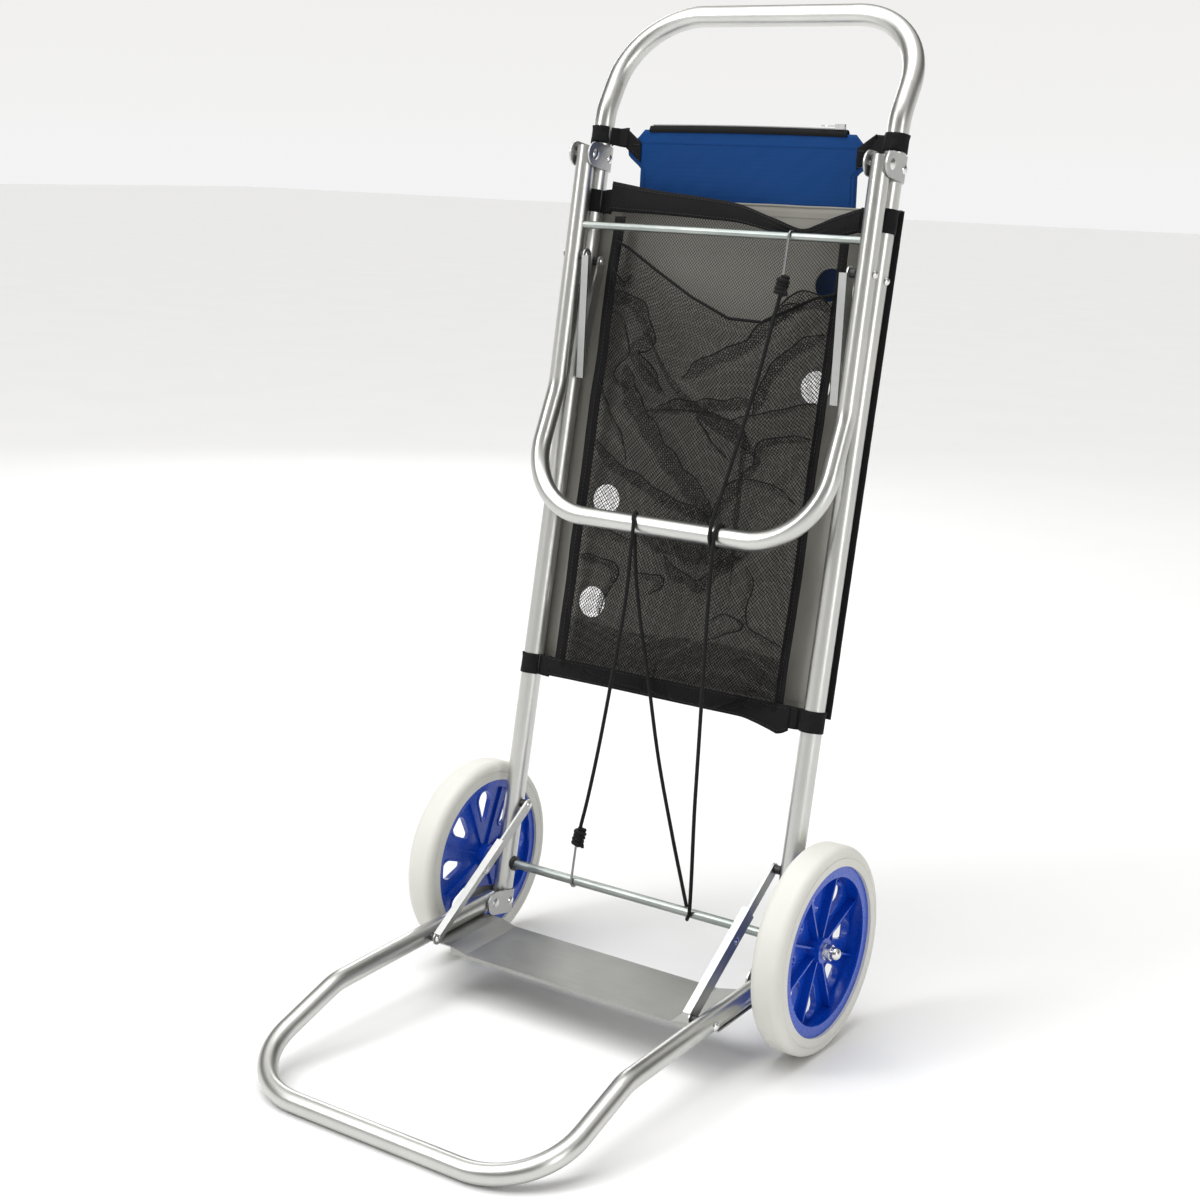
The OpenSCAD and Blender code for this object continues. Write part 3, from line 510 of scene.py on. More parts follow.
def panel_edges():
    """Black tape folded round the side edges, its stitches, and the pale bead along the top."""
    for side, name in ((-1, "left"), (1, "right")):
        s = np.linspace(PANEL_LOW - 0.0005, PANEL_HIGH + 0.0005, 120)
        pts = []
        x0, x1 = PANEL_HALF - 0.0155, PANEL_HALF + 0.0004
        shape = [(x0, -0.0128), (x0 + 0.004, -0.0127), (x1 - 0.0008, -0.0127), (x1 + 0.0002, -0.0137),
                 (x1 - 0.0008, -0.0148), (x0 + 0.004, -0.0148), (x0, -0.0147)]
        wave = 0.00035 * noise_field(s * 0, s, 20 + side, 160)
        for (x, f) in shape:
            pts.append(np.stack([side * (x + wave * (1.5 if x < x0 + 0.001 else 0.3)), f + 0 * s, s], -1))
        pts = legs(np.array(pts))
        if side < 0:
            pts = pts[::-1]
        nn = grid_normals(pts)
        v, f = thick(pts, nn, 0.0006)
        o = make("panel_tape_" + name, v, f, "tape")
        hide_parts("panel_binding")
        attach(o, "frame")
        for face, depth in ((1, -0.0123), (-1, -0.0151)):
            ln = legs(np.stack([side * (x0 + 0.0018) + 0 * s, depth + 0 * s, s], -1))
            stitches("panel_stitch_%s_%s" % (name, "front" if face > 0 else "back"), ln, FRONT * face,
                mat="black")
    x = np.linspace(-PANEL_HALF + 0.002, PANEL_HALF - 0.002, 90)
    bead = sweep("panel_bead", legs(np.stack([x, -0.0137 + 0 * x,
        PANEL_HIGH + 0.0003 * noise_field(x, x, 3, 60)], -1)), 0.0014, 8, "panel")
    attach(bead, "frame")
    hem = []
    for s0 in (PANEL_HIGH - 0.011, PANEL_LOW + 0.011):
        ln = np.stack([x, panel_depth(x, s0 + 0 * x) + 0.0006, s0 + 0 * x], -1)
        hem.append(stitches("panel_hem_stitch_%d" % len(hem), legs(ln), FRONT, mat="panel"))
    for k, (hx, hs) in enumerate(HOLES):
        a = np.linspace(0, math.tau, 41)[:-1]
        px, ps = hx + (HOLE_R + 0.0008) * np.cos(a), hs + (HOLE_R + 0.0008) * np.sin(a)
        rim = sweep("hole_rim_%d" % k, legs(np.stack([px, panel_depth(px, ps), ps], -1)), 0.0011, 6,
            "panel", closed=True)
        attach(rim, "frame")


panel()
panel_edges()


# ---------------------------------------------------------------- pouch

def pouch():
    """Flat zip bag hanging behind the panel: front and back cloth joined at the edges, a little swollen, with side tabs."""
    levels = [(-0.190, 0.131), (-0.10, 0.1305), (-0.040, 0.1295), (-0.028, 0.1455), (-0.020, 0.1465),
        (0.0, 0.1255)]
    nu, nv = 65, 57
    zz = np.linspace(-0.190, 0.0, nv)
    half = np.interp(zz, [p[0] for p in levels], [p[1] for p in levels])
    u = np.sin(np.linspace(-math.pi / 2, math.pi / 2, nu)) * 0.35 + np.linspace(-1, 1, nu) * 0.65
    U, Z = np.meshgrid(u, zz, indexing="ij")
    X = U * half[None]
    core = np.minimum(1, (1 - np.abs(X) / 0.1305).clip(0) * 5) ** 0.6
    low = np.minimum(1, (Z + 0.190) / 0.018) ** 0.5
    swell = 0.0010 + 0.0026 * core * low * (0.75 + 0.25 * np.cos(Z / 0.19 * 3))
    tab = np.clip((np.abs(X) - 0.118) / 0.02, 0, 1)
    wr = noise_field(X, Z, 31, 40) * 0.0008 * core + noise_field(X * 1.5, Z, 8, 130) * 0.0003
    mid = 0.0043 + 0.0008 * noise_field(X, Z, 12, 12)
    mid = mid - 0.0012 * tab
    top = np.clip((Z + 0.012) / 0.012, 0, 1)
    swell = swell * (1 - 0.25 * top)
    yf = POUCH_Y + mid - swell - wr
    yb = POUCH_Y + mid + swell * 1.5 + noise_field(X, Z, 77, 45) * 0.0009 * core
    ztop = POUCH_TOP + Z + top * 0.0015 * np.cos(X * 11)
    a = np.stack([X, yf, ztop], -1).reshape(-1, 3)
    b = np.stack([X, yb, ztop], -1).reshape(-1, 3)
    n = nu * nv
    f = grid_faces(nu, nv)
    faces = [tuple(q) for q in f] + [tuple(int(v) + n for v in q[::-1]) for q in f]
    ring = ([i * nv for i in range(nu)] + [(nu - 1) * nv + j for j in range(1, nv)]
            + [i * nv + nv - 1 for i in range(nu - 2, -1, -1)] + [j for j in range(nv - 2, 0, -1)])
    for k in range(len(ring)):
        p, q = ring[k], ring[(k + 1) % len(ring)]
        faces.append((q, p, p + n, q + n))
    o = make("pouch_bag", np.vstack([a, b]), faces, "pouch")
    o.data.polygons.foreach_set("use_smooth", [k < 2 * len(f) for k in range(len(o.data.polygons))])
    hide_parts("pouch")
    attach(o, "frame")
    # seam rows along the top and the sides
    for sgn, yy, tag in ((-1, yf, "front"), (1, yb, "back")):
        j = nv - 5
        row = np.stack([X[2:-2, j] * 0.985, yy[2:-2, j] + sgn * 0.0002, ztop[2:-2, j]], -1)
        stitches("pouch_seam_top_" + tag, row, (0, sgn, 0), mat="pouch", r=0.0003)
        for i in (2, nu - 3):
            col = np.stack([X[i, :-6], yy[i, :-6] + sgn * 0.0002, ztop[i, :-6]], -1)
            stitches("pouch_seam_%s_%d" % (tag, i), col, (0, sgn, 0), mat="pouch", r=0.0003)
    return ztop[:, -1], X[:, -1]


def zipper():
    """Black tape between the top edges with its coil along the middle."""
    x = np.linspace(-0.119, 0.117, 140)
    zc = POUCH_TOP + 0.0015 * np.cos(x * 11)
    y0 = POUCH_Y + 0.004
    rows = []
    for dy, dz in ((-0.0034, -0.0030), (-0.0029, 0.0008), (-0.0015, 0.0032), (0.0, 0.0038),
            (0.0015, 0.0032), (0.0029, 0.0008), (0.0034, -0.0030)):
        rows.append(np.stack([x, y0 + dy + 0.0006 * noise_field(x, x, 4, 60), zc + dz], -1))
    pts = np.array(rows)
    v, f = thick(pts, grid_normals(pts), 0.0007)
    tape = make("zip_tape_band", v, f, "tape")
    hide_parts("pouch_zip")
    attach(tape, "frame")
    t = np.linspace(0, 1, 1500)
    coil = np.stack([-0.116 + 0.231 * t, y0 + 0.0015 * np.cos(t * math.tau * 110),
        POUCH_TOP + 0.0046 + 0.0015 * np.cos((-0.116 + 0.231 * t) * 11)
                     + 0.0006 * np.sin(t * math.tau * 110)], -1)
    c = sweep("zip_coil", coil, 0.00032, 5, "black")
    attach(c, "frame")


def webbing_loop(name, side, s_low, s_high, tail, body="frame", replaced=(), flare=0.0, r=0.0118):
    """A band of webbing round a leg whose two ends meet in a tail that runs inwards to the points of tail."""
    n = 46
    ang = np.linspace(math.radians(-152), math.radians(152), n)
    h = np.linspace(0, 1, 9)
    path = [(LEG_X + r * math.cos(a), r * math.sin(a)) for a in ang]
    front = [(x, f) for x, f in tail]
    rows = [(x, f - 0.0007) for x, f in reversed(front)] + path + [(x, f + 0.0007) for x, f in front]
    rows = np.array(rows)
    rows = np.array(smooth_line(np.c_[rows, np.zeros(len(rows))], 0.0015))[:, :2]
    m = len(rows)
    u = np.linspace(0, 1, m)
    pts = np.zeros((m, 9, 3))
    for k, hh in enumerate(h):
        inward = np.clip((LEG_X - 0.012 - rows[:, 0]) / 0.03, 0, 1)
        s = s_low + (s_high - s_low) * (0.5 + (hh - 0.5) * (1 + flare * inward))
        bend = 0.0005 * np.sin(u * 37 + hh * 4) + 0.0004 * np.sin(hh * 7)
        dirx = rows[:, 0] - LEG_X
        d = np.hypot(dirx, rows[:, 1]) + 1e-9
        pts[:, k] = legs(np.stack([side * (rows[:, 0] + dirx / d * bend.clip(0)),
            rows[:, 1] + rows[:, 1] / d * bend.clip(0), s + 0 * u], -1))
    nn = grid_normals(pts)
    v, f = thick(pts, nn, 0.0009)
    o = make(name, v, f, "tape")
    if replaced:
        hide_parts(*replaced)
    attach(o, body)
    return o


pouch()
zipper()


# ---------------------------------------------------------------- straps and hems

def tail_line(x_end, f_end, x_start=0.1675, f_start=0.0035):
    return [(x_start - 0.002, f_start * 0.4), (x_start - 0.008, f_end * 0.6),
        ((x_start + x_end) / 2, f_end), (x_end, f_end)]


def pouch_loops():
    for side, tag in ((-1, "left"), (1, "right")):
        webbing_loop("pouch_strap_" + tag, side, 0.793, 0.811, tail_line(0.1475, -0.0078),
            replaced=("pouch_straps",),
                         flare=0.35 if side < 0 else 0.15)
        # the tail carries on as a short folded end stitched to the pouch's tab
        top = POUCH_TOP - 0.0235
        z = np.linspace(top - 0.0105, top + 0.0105, 9)
        p0 = np.array(leg(side * 0.1495, -0.0078, 0.802))
        rows = []
        for t in np.linspace(0, 1, 9):
            x = side * (0.1495 - 0.020 * t)
            y = p0[1] * (1 - t) + (POUCH_Y + 0.0012) * t
            rows.append(np.stack([x + 0 * z, y + 0.0004 * np.sin(5 * t + z * 300),
                z + (p0[2] - top) * (1 - t)], -1))
        pts = np.array(rows)
        v, f = thick(pts, grid_normals(pts), 0.0009)
        e = make("pouch_strap_end_" + tag, v, f, "tape")
        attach(e, "frame")
        for k, dz in enumerate((-0.008, 0.008)):
            line = np.stack([side * np.linspace(0.131, 0.142, 12),
                POUCH_Y + 0.0005 + 0 * np.linspace(0, 1, 12), top + dz + 0 * np.linspace(0, 1, 12)], -1)
            stitches("pouch_tab_stitch_%s_%d" % (tag, k), line, (0, -1, 0), mat="black")


def pocket_loops():
    spans = {(-1, "top"): (0.719, 0.743, 0.25), (1, "top"): (0.713, 0.737, 0.1),
        (-1, "low"): (0.213, 0.235, 0.1), (1, "low"): (0.213, 0.235, 0.1)}
    for (side, place), (a, b, flare) in spans.items():
        webbing_loop("pocket_loop_%s_%s" % (place, "left" if side < 0 else "right"), side, a, b,
                     tail_line(0.1495, 0.0033), replaced=("pocket_straps",), flare=flare)


def hem_band(name, xs, centre, high, depth, replaced, seed, gather=0.0):
    """A folded band of webbing across between the legs, creased where it is gathered."""
    v = np.linspace(-0.5, 0.5, 13)
    X, V = np.meshgrid(xs, v, indexing="ij")
    S = centre[:, None] + V * high[:, None]
    ripple = 0.0009 * noise_field(X, S * 0.3, seed, 60) + 0.00045 * noise_field(X, S, seed + 3, 220)
    crease = gather * np.exp(-((X - 0.078) / 0.03) ** 2) * np.sin(V * 24 + X * 30)
    F = depth + ripple + crease + 0.0008 * np.cos(V * math.pi)
    pts = legs(np.stack([X, F, S], -1))
    vv, ff = thick(pts, grid_normals(pts), 0.0016)
    o = make(name, vv, ff, "tape")
    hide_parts(*replaced)
    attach(o, "frame")
    for k, t in enumerate((-0.38, 0.38)):
        c = centre + t * high
        d = depth + 0.0009 * noise_field(xs, c * 0.3, seed, 60) + 0.00045 * noise_field(xs, c, seed + 3,
            220) + 0.0014
        stitches("%s_stitch_%d" % (name, k), legs(np.stack([xs, d, c], -1)), FRONT, mat="black")
    return o


TOP_HEM = [(-0.152, 0.737, 0.032), (-0.125, 0.735, 0.029), (-0.09, 0.7325, 0.025),
    (-0.03, 0.729, 0.022), (0.01, 0.7255, 0.019), (0.05, 0.716, 0.014),
           (0.078, 0.7085, 0.011), (0.09, 0.708, 0.011), (0.105, 0.711, 0.017), (0.125, 0.717, 0.022),
               (0.152, 0.7255, 0.024)]


def top_hem_at(x):
    k = np.array(TOP_HEM)
    return np.interp(x, k[:, 0], k[:, 1]), np.interp(x, k[:, 0], k[:, 2])


def smooth_interp(x, xs, ys):
    curve = smooth_line(np.c_[xs, ys, np.zeros(len(xs))], 0.002)
    return np.interp(x, curve[:, 0], curve[:, 1])


def hems():
    xs = np.linspace(-0.1505, 0.1505, 160)
    k = np.array(TOP_HEM)
    c = smooth_interp(xs, k[:, 0], k[:, 1])
    h = smooth_interp(xs, k[:, 0], k[:, 2])
    hem_band("top_hem_band", xs, c, h, 0.0035, ("pocket_top_hem",), 41, 0.0012)
    flare = np.clip((xs - 0.095) / 0.05, 0, 1) ** 1.3 * np.clip((0.158 - xs) / 0.02, 0, 1)
    hem_band("bottom_hem_band", xs, 0.225 + 0.0008 * noise_field(xs, xs, 9, 25) - 0.006 * flare,
        0.021 + 0.012 * flare, 0.0035, ("pocket_bottom_hem",), 57)
    for side, tag, wide in ((-1, "left", 0.013), (1, "right", 0.010)):
        s = np.linspace(0.235, 0.716 if side < 0 else 0.708, 120)
        xm = side * (0.1365 + 0.0012 * noise_field(s, s, 60 + side, 18))
        v = np.linspace(-0.5, 0.5, 7)
        X = xm[:, None] + wide * v[None] * -side
        F = 0.0036 + 0.0007 * noise_field(X, s[:, None] + 0 * X, 70 + side, 60)
        pts = legs(np.stack([X, F, s[:, None] + 0 * X], -1))
        vv, ff = thick(pts, grid_normals(pts), 0.0009)
        o = make("pocket_side_tape_" + tag, vv, ff, "tape")
        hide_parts("pocket_side_tapes")
        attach(o, "frame")
        stitches("side_tape_stitch_" + tag,
            legs(np.stack([xm, 0.0046 + 0.0007 * noise_field(xm, s, 70 + side, 60), s], -1)), FRONT,
                mat="black")


pouch_loops()
pocket_loops()
hems()


# ---------------------------------------------------------------- net pocket

NET_HALF, NET_LOW = 0.1365, 0.224


def diamond_net(name, surface, x_lines, s_lines, mat_width=0.18):
    """A net whose every mesh is a diamond hole in a ring of yarn: surface maps plane points to space points."""
    nx, ns = len(x_lines) - 1, len(s_lines) - 1
    verts, faces, index = [], [], {}

    def node(i, j):
        key = (i, j)
        if key not in index:
            index[key] = len(verts)
            verts.append((np.interp(i / 2, range(nx + 1), x_lines), np.interp(j / 2, range(ns + 1), s_lines)))
        return index[key]
    for i in range(0, 2 * nx + 1):
        for j in range(0, 2 * ns + 1):
            if (i + j) % 2 == 0:
                continue
            ring = [(i - 1, j), (i, j - 1), (i + 1, j), (i, j + 1)]
            ring = [(a, b) for a, b in ring if 0 <= a <= 2 * nx and 0 <= b <= 2 * ns]
            if len(ring) < 4:
                continue
            out = [node(a, b) for a, b in ring]
            pts = np.array([verts[k] for k in out])
            mid = pts.mean(0)
            inner = []
            for p in pts:
                inner.append(len(verts))
                verts.append(tuple(p + (mid - p) * mat_width))
            for k in range(4):
                q = (k + 1) % 4
                faces.append((out[k], out[q], inner[q], inner[k]))
    v = np.array(verts)
    p = surface(v[:, 0], v[:, 1])
    o = make(name, p, faces, "net")
    return o


EDGE = np.array([(0.0, -0.1365, 0.690), (0.10, -0.118, 0.683), (0.25, -0.080, 0.662),
    (0.42, -0.030, 0.636), (0.58, 0.018, 0.617), (0.72, 0.058, 0.616),
                 (0.84, 0.090, 0.632), (0.93, 0.113, 0.644), (1.0, 0.1365, 0.650)])


def front_cloth():
    """Position-based cloth in the legs' plane: x across, s up, d forward of the legs."""
    nu, nv = ((72, 100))
    u = np.linspace(0, 1, nu)
    v = np.linspace(0, 1, nv)
    ex, es = np.interp(u, EDGE[:, 0], EDGE[:, 1]), np.interp(u, EDGE[:, 0], EDGE[:, 2])
    rng = np.random.default_rng(11)
    rest_w = 2 * NET_HALF * 1.13
    V, U = np.meshgrid(v, u)
    x = ex[:, None] * V + (-NET_HALF + 2 * NET_HALF * U) * (1 - V)
    s = NET_LOW + (es[:, None] - NET_LOW) * V
    d = 0.006 + 0.004 * np.sin(math.pi * U) * np.sin(math.pi * V) + 0.0015 * rng.standard_normal(U.shape)
    p = np.stack([x, d, s], -1)
    cut = NET_LOW + (np.interp(u, [0, 0.35, 0.65, 1.0], [0.476, 0.462, 0.456, 0.458]))[:, None] * V
    rs = np.diff(cut, axis=1)
    fixed = np.zeros((nu, nv), bool)
    fixed[0, :] = fixed[-1, :] = True
    fixed[:, 0] = True
    fixed[:, -1] = True
    home = p.copy()
    home[:, 0, 1] = 0.0045
    home[0, :, 1] = home[-1, :, 1] = 0.0045
    home[:, -1, 1] = 0.0065 + 0.003 * np.sin(math.pi * u)
    p[fixed] = home[fixed]
    prev = p.copy()
    gx = rest_w / (nu - 1)
    diag = np.sqrt(gx ** 2 + rs[:-1] ** 2)
    w = (~fixed).astype(float)
    steps = 260
    pulls = [((0.42, 0.42), (0.035, 0.004, 0.405), 0.10), ((0.60, 0.62), (0.055, 0.0035, 0.520), 0.05),
        ((0.22, 0.70), (-0.070, 0.0035, 0.560), 0.03)]

    def solve(a, b, rest, wa, wb, k=1.0, only_long=False):
        dv = p[b] - p[a]
        ln = np.linalg.norm(dv, axis=-1)
        c = (ln - rest) / np.maximum(ln, 1e-9)
        if only_long:
            c = np.maximum(c, 0)
        tot = wa + wb
        c = np.where(tot > 0, c / np.maximum(tot, 1e-9), 0) * k
        corr = dv * c[..., None]
        p[a] += corr * wa[..., None]
        p[b] -= corr * wb[..., None]

    for _ in range(steps):
        vel = (p - prev) * 0.96
        prev = p.copy()
        grav = np.array([0, 0.000004, -0.00003])
        p = p + vel * w[..., None] + grav * w[..., None]
        for (cu, cv), target, k in pulls:
            wt = np.exp(-(((U - cu) / 0.05) ** 2 + ((V - cv) / 0.03) ** 2)) * k * w
            p = p + (np.array(target) - p) * wt[..., None]
        for _ in range(5):
            for par in (0, 1):
                a = np.s_[par:nu - 1:2, :]
                b = np.s_[par + 1:nu:2, :]
                na = len(range(par, nu - 1, 2))
                solve(a, (slice(par + 1, par + 1 + 2 * na - 1, 2), slice(None)), gx, w[a],
                    w[par + 1:par + 2 * na:2, :], 0.9)
                a = np.s_[:, par:nv - 1:2]
                nb = len(range(par, nv - 1, 2))
                solve(a, (slice(None), slice(par + 1, par + 1 + 2 * nb - 1, 2)), rs[:, par::2], w[a],
                    w[:, par + 1:par + 2 * nb:2], 0.9)
            for pi in (0, 1):
                na = len(range(pi, nu - 1, 2))
                ia, ib = slice(pi, pi + 2 * na - 1, 2), slice(pi + 1, pi + 2 * na, 2)
                for pj in (0, 1):
                    nb = len(range(pj, nv - 1, 2))
                    ja, jb = slice(pj, pj + 2 * nb - 1, 2), slice(pj + 1, pj + 2 * nb, 2)
                    r = diag[pi::2, pj::2][:na, :nb]
                    solve((ia, ja), (ib, jb), r, w[ia, ja], w[ib, jb], 0.12)
                    solve((ia, jb), (ib, ja), r, w[ia, jb], w[ib, ja], 0.12)
            # bending: pull every point a little to the middle of its neighbours
            lap = np.zeros_like(p)
            lap[1:-1, 1:-1] = (p[2:, 1:-1] + p[:-2, 1:-1] + p[1:-1, 2:] + p[1:-1, :-2]) / 4 - p[1:-1, 1:-1]
            p = p + 0.03 * lap * w[..., None]
            low = 0.0040 + 0.0008 * V
            p[..., 1] = np.where(w > 0, np.clip(p[..., 1], low, 0.023), p[..., 1])
    return p


def sample(p, uu, vv):
    """Smooth reading of the cloth grid at plane points."""
    nu, nv = p.shape[:2]
    a = np.clip(uu, 0, 1) * (nu - 1)
    b = np.clip(vv, 0, 1) * (nv - 1)
    i = np.clip(a.astype(int), 0, nu - 2)
    j = np.clip(b.astype(int), 0, nv - 2)
    fa, fb = (a - i)[:, None], (b - j)[:, None]
    return (p[i, j] * (1 - fa) * (1 - fb) + p[i + 1, j] * fa * (1 - fb) + p[i,
        j + 1] * (1 - fa) * fb + p[i + 1, j + 1] * fa * fb)


def nets():
    pitch = 0.0034
    nx = round(2 * NET_HALF / pitch)
    xs = np.linspace(-NET_HALF, NET_HALF, nx + 1)
    ns = round(0.5 / (pitch * 1.15))
    ts = np.linspace(0, 1, ns + 1)

    def back(x, t):
        top, _ = top_hem_at(x)
        s = NET_LOW + (top - NET_LOW) * t
        room = np.minimum(1, np.minimum(t, 1 - t) * 12) * np.minimum(1, (NET_HALF - np.abs(x)) / 0.02)
        f = 0.0012 + room * (0.0010 * noise_field(x, s, 14, 26) + 0.0004 * noise_field(x, s, 15, 90))
        return legs(np.stack([x, f, s], -1))
    b = diamond_net("pocket_net_back", back, xs, ts)
    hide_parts("pocket_mesh")
    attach(b, "frame")
    p = front_cloth()

    def loose(uu, vv):
        q = sample(p, (uu + NET_HALF) / (2 * NET_HALF), vv)
        return legs(q)
    wider = pitch * 1.2
    ns = round(0.46 / (wider * 1.15))
    ts = np.linspace(0, 1, ns + 1)
    wide = round(2 * NET_HALF * 1.12 / wider)
    f = diamond_net("pocket_net_front", loose, np.linspace(-NET_HALF, NET_HALF, wide + 1), ts, mat_width=0.2)
    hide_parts("pocket_mesh")
    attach(f, "frame")
    flat_p = p.reshape(-1, 3)
    line = smooth_line(p[:, -1].copy(), 0.002)
    edge = sweep("pocket_net_elastic", legs(line), 0.0017, 8, "tape")
    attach(edge, "frame")
    more = [edge]
    for k, (pts, wide, layers) in enumerate(FOLDS):
        more += fold("pocket_net_fold_%02d" % k, pts, wide, layers, flat_p, pitch, k)
    more.append(low_band(pitch))


# Lines along which the loose net lies folded over itself: points across and up, width of the fold, its layers
FOLDS = [
    ([(-0.133, 0.626), (-0.105, 0.626), (-0.078, 0.608), (-0.071, 0.59), (-0.085, 0.575),
        (-0.074, 0.555), (-0.053, 0.532)], 0.017, 2),
    ([(-0.102, 0.559), (-0.088, 0.524), (-0.065, 0.498), (-0.042, 0.473), (-0.013, 0.449),
        (0.011, 0.429), (0.033, 0.409)], 0.021, 2),
    ([(-0.131, 0.477), (-0.102, 0.452), (-0.066, 0.438), (-0.033, 0.423), (0.003, 0.414),
        (0.033, 0.407)], 0.013, 2),
    ([(-0.055, 0.518), (-0.015, 0.522), (0.016, 0.525), (0.042, 0.528), (0.065, 0.535)], 0.013, 2),
    ([(-0.022, 0.549), (0.0, 0.563), (0.024, 0.576), (0.047, 0.590), (0.065, 0.607), (0.087, 0.628),
        (0.104, 0.636)], 0.014, 2),
    ([(0.068, 0.520), (0.078, 0.550), (0.089, 0.571), (0.106, 0.590), (0.133, 0.609)], 0.012, 2),
    ([(0.060, 0.452), (0.079, 0.470), (0.082, 0.489), (0.104, 0.499), (0.134, 0.503)], 0.008, 2),
    ([(0.061, 0.453), (0.089, 0.452), (0.112, 0.446), (0.131, 0.436)], 0.007, 1),
    ([(0.036, 0.408), (0.048, 0.435), (0.063, 0.458)], 0.014, 2),
    ([(-0.134, 0.614), (-0.113, 0.610), (-0.100, 0.597), (-0.099, 0.574), (-0.115, 0.554),
        (-0.112, 0.541), (-0.092, 0.532)], 0.005, 1),
    ([(-0.134, 0.540), (-0.118, 0.511), (-0.096, 0.483), (-0.083, 0.454)], 0.006, 1),
    ([(-0.134, 0.668), (-0.126, 0.652), (-0.113, 0.643), (-0.108, 0.657)], 0.008, 2),
    ([(-0.002, 0.514), (0.017, 0.489), (0.040, 0.473)], 0.004, 1),
    ([(-0.070, 0.512), (-0.024, 0.515), (0.013, 0.516), (0.040, 0.511), (0.065, 0.517), (0.091, 0.524),
        (0.134, 0.540)], 0.005, 1),
    ([(0.072, 0.612), (0.084, 0.630), (0.101, 0.640), (0.118, 0.640), (0.134, 0.632)], 0.018, 2),
    ([(-0.060, 0.384), (-0.020, 0.378), (0.014, 0.372), (0.048, 0.374), (0.090, 0.384)], 0.024, 2),
    ([(-0.022, 0.366), (-0.005, 0.348), (0.014, 0.344), (0.036, 0.339), (0.056, 0.362), (0.084, 0.376)],
        0.013, 2),
    ([(-0.134, 0.349), (-0.108, 0.348), (-0.079, 0.344), (-0.078, 0.329), (-0.088, 0.308),
        (-0.087, 0.290)], 0.009, 2),
    ([(0.086, 0.370), (0.096, 0.349), (0.091, 0.325), (0.096, 0.308), (0.116, 0.296), (0.134, 0.292)],
        0.008, 1),
    ([(0.050, 0.304), (0.071, 0.315), (0.092, 0.307), (0.071, 0.297), (0.052, 0.287)], 0.004, 1),
    ([(-0.052, 0.340), (-0.034, 0.339), (-0.017, 0.338), (-0.032, 0.321)], 0.009, 1),
    ([(-0.130, 0.392), (-0.098, 0.378), (-0.060, 0.372)], 0.010, 1),
]


def fold(name, pts, wide, layers, cloth, pitch, seed):
    """A flap of the net lying folded on the net: out along its width and back, with a sharp crease down its edge."""
    line = smooth_line(np.c_[np.array(pts), np.zeros(len(pts))], 0.002)[:, :2]
    seg = np.concatenate([[0], np.cumsum(np.linalg.norm(np.diff(line, axis=0), axis=1))])
    total = seg[-1]
    depth = np.array([cloth[np.argmin((cloth[:, 0] - x) ** 2 + (cloth[:, 2] - s) ** 2), 1] for x, s in line])
    kernel = np.ones(9) / 9
    depth = np.convolve(np.pad(depth, 4, mode="edge"), kernel, mode="valid")
    tan = np.gradient(line, axis=0)
    tan /= np.linalg.norm(tan, axis=1, keepdims=True)
    side = np.stack([-tan[:, 1], tan[:, 0]], -1)

    def place(t, w):
        """t runs along the flap in metres, w from 0 at its root over the crease at 1 and back to 2."""
        x, s = np.interp(t, seg, line[:, 0]), np.interp(t, seg, line[:, 1])
        nx, ns = np.interp(t, seg, side[:, 0]), np.interp(t, seg, side[:, 1])
        d = np.interp(t, seg, depth)
        taper = np.clip(np.minimum(t, total - t) / 0.018, 0.12, 1) ** 0.7
        half = wide * taper * (1 + 0.18 * np.sin(t * 160 + seed))
        q = 1 - np.abs(1 - w)
        back = (w > 1).astype(float)
        off = half * (q - 0.5)
        lift = 0.0012 + 0.0024 * np.sin(np.pi * np.clip(w / 2, 0,
            1)) * taper + 0.0012 * back * (1 - q) + 0.0007 * np.sin(t * 330 + w * 4 + seed)
        px = np.clip(x + nx * off, -NET_HALF + 0.001, NET_HALF - 0.001)
        return legs(np.stack([px, np.clip(d + lift, 0.003, 0.026), s + ns * off], -1))
    nt = max(3, round(total / (pitch * 1.1)))
    nw = max(2, round(wide * layers / pitch))
    ts = np.linspace(0, total, nt + 1)
    ws = np.linspace(0, 1 if layers == 1 else 2, nw + 1)
    net = diamond_net(name, place, ts, ws)
    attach(net, "frame")
    tt = np.linspace(0.002, total - 0.002, max(8, int(total / 0.002)))
    crease = sweep(name + "_crease", place(tt, np.ones(len(tt))),
        0.0006 + 0.0003 * np.sin(np.linspace(0, math.pi, len(tt))), 6, "net")
    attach(crease, "frame")
    return [net, crease]


def low_band(pitch):
    """The net's own hem, turned up behind the bottom band."""
    def place(x, s):
        top = 0.282 + 0.003 * np.sin(x * 30)
        q = (s - 0.236) / 0.046
        return legs(np.stack([x, 0.0045 + 0.0009 * noise_field(x, s, 5, 60), 0.236 + (top - 0.236) * q], -1))
    o = diamond_net("pocket_net_turned_hem", place,
        np.linspace(-NET_HALF, NET_HALF, round(2 * NET_HALF / pitch) + 1),
            np.linspace(0.236, 0.282, round(0.046 / pitch) + 1), mat_width=0.24)
    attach(o, "frame")
    return o


nets()


# ---------------------------------------------------------------- elastic cord

def arc(x0, x1, f, s, r, a0, a1, n):
    out = []
    for k in range(n + 1):
        t = k / n
        a = math.radians(a0 + (a1 - a0) * t)
        out.append([x0 + (x1 - x0) * t, f + r * math.cos(a), s + r * math.sin(a)])
    return out


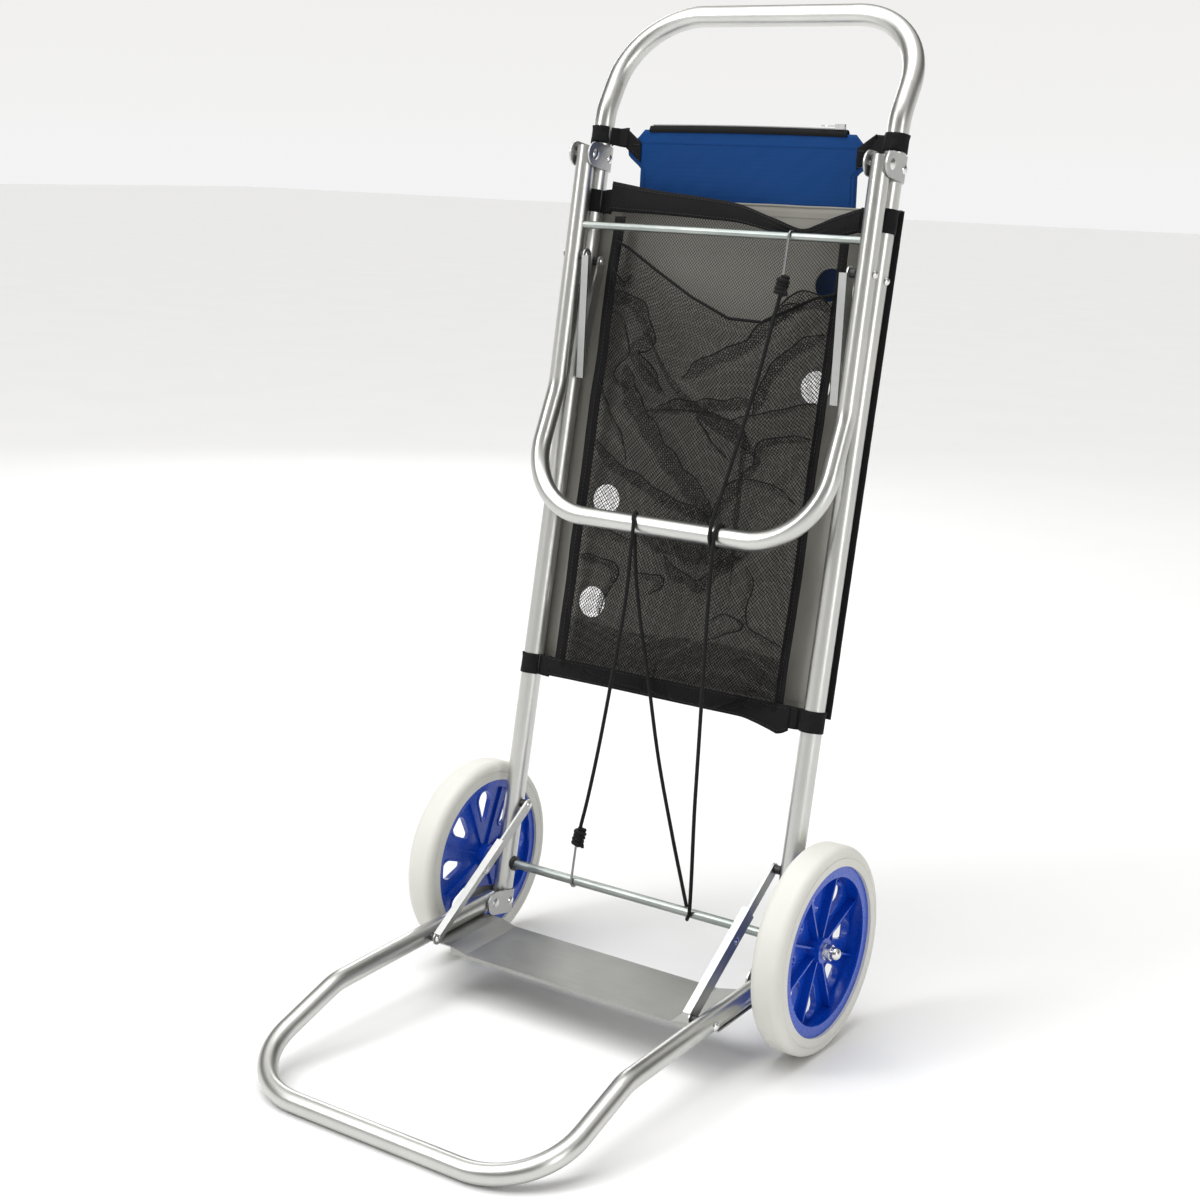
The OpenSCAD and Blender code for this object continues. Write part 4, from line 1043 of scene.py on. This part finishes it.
def cord_route():
    bend = math.radians(14.5)
    bend_z = 241 + 60 * math.sin(bend) + 130 * math.cos(bend)
    bend_y = 60 * (1 - math.cos(bend)) + 130 * math.sin(bend)
    one = math.radians(1)
    bar_f = 27 - bend_z * math.sin(one) + bend_y * math.cos(one)
    bar_s = 777 - bend_z * math.cos(one) - bend_y * math.sin(one)
    down = [[87, 31, 644.2], [85, 34, 620], [81, 42, 560], [76, 52, 500], [70, 62, 440], [66, 66, 412]]
    wrap = arc(65, 71, bar_f, bar_s, 12.3, 15, -360, 14)
    low = [[71, 66, 370], [71, 60, 320], [71, 50, 250], [70, 38, 180], [69, 26, 110], [69, 14, 45],
        [69, 9, 15]]
    rod = arc(69, 58, 0, 0, 7.3, 0, -180, 6)
    up = [[47, -5, 30], [33, 2, 75], [10, 13, 153], [-10, 24, 237], [-23, 31, 290], [-34, 38, 345]]
    over = arc(-40, -26, bar_f, bar_s, 12.3, 180, 0, 8)
    last = [[-26, 66, 370], [-29, 58, 310], [-40, 46, 235], [-52, 34, 160], [-66, 20, 100],
        [-76, 11, 65], [-78, 9, 58]]
    return np.array(down + wrap + low + rod + up + over + last) / 1000


def knot(name, at, body, node, turns=4):
    """A fat coil of the cord's end wound round itself, with the cord through its middle."""
    x, f, s = at
    pts = []
    n = turns * 22
    for k in range(n + 1):
        t = k / n
        a = math.tau * turns * t
        r = 0.0049 + 0.0007 * math.sin(3.1 * a / turns)
        pts.append([x + r * math.cos(a), f + r * math.sin(a), s - 0.0082 + 0.0164 * t])
    pts = [[x, f, s - 0.0096], [x + 0.0026, f + 0.001, s - 0.0088]] + pts + [[x + 0.001, f, s + 0.0092],
        [x, f, s + 0.0102]]
    line = smooth_line(legs(np.array(pts)), 0.0009)
    o = sweep(name, line, 0.0022, 12, "cord")
    core = sweep(name + "_core", legs(np.array([[x, f, s - 0.0105 + 0.0021 * k] for k in range(11)])),
        0.0024, 10, "cord")
    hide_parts(node)
    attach(o, body)
    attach(core, body)
    tail = smooth_line(legs(np.array([[x + 0.0045, f + 0.001, s - 0.004],
        [x + 0.0068, f + 0.002, s - 0.007], [x + 0.0072, f + 0.0015, s - 0.0105]])), 0.001)
    e = sweep(name + "_end", tail, 0.0018, 10, "cord")
    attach(e, body)
    return [o, core, e]


def elastic():
    route = legs(cord_route())
    line = smooth_line(route, 0.002)
    o = sweep("elastic_cord", line, 0.002, 12, "cord")
    top = knot("elastic_knot_top", (0.087, 0.031, 0.652), "front_frame", "bungee_knot_top")
    low = knot("elastic_knot_low", (-0.078, 0.009, 0.050), "frame", "bungee_knot_low")
    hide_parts("bungee_cord")
    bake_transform(o)


elastic()
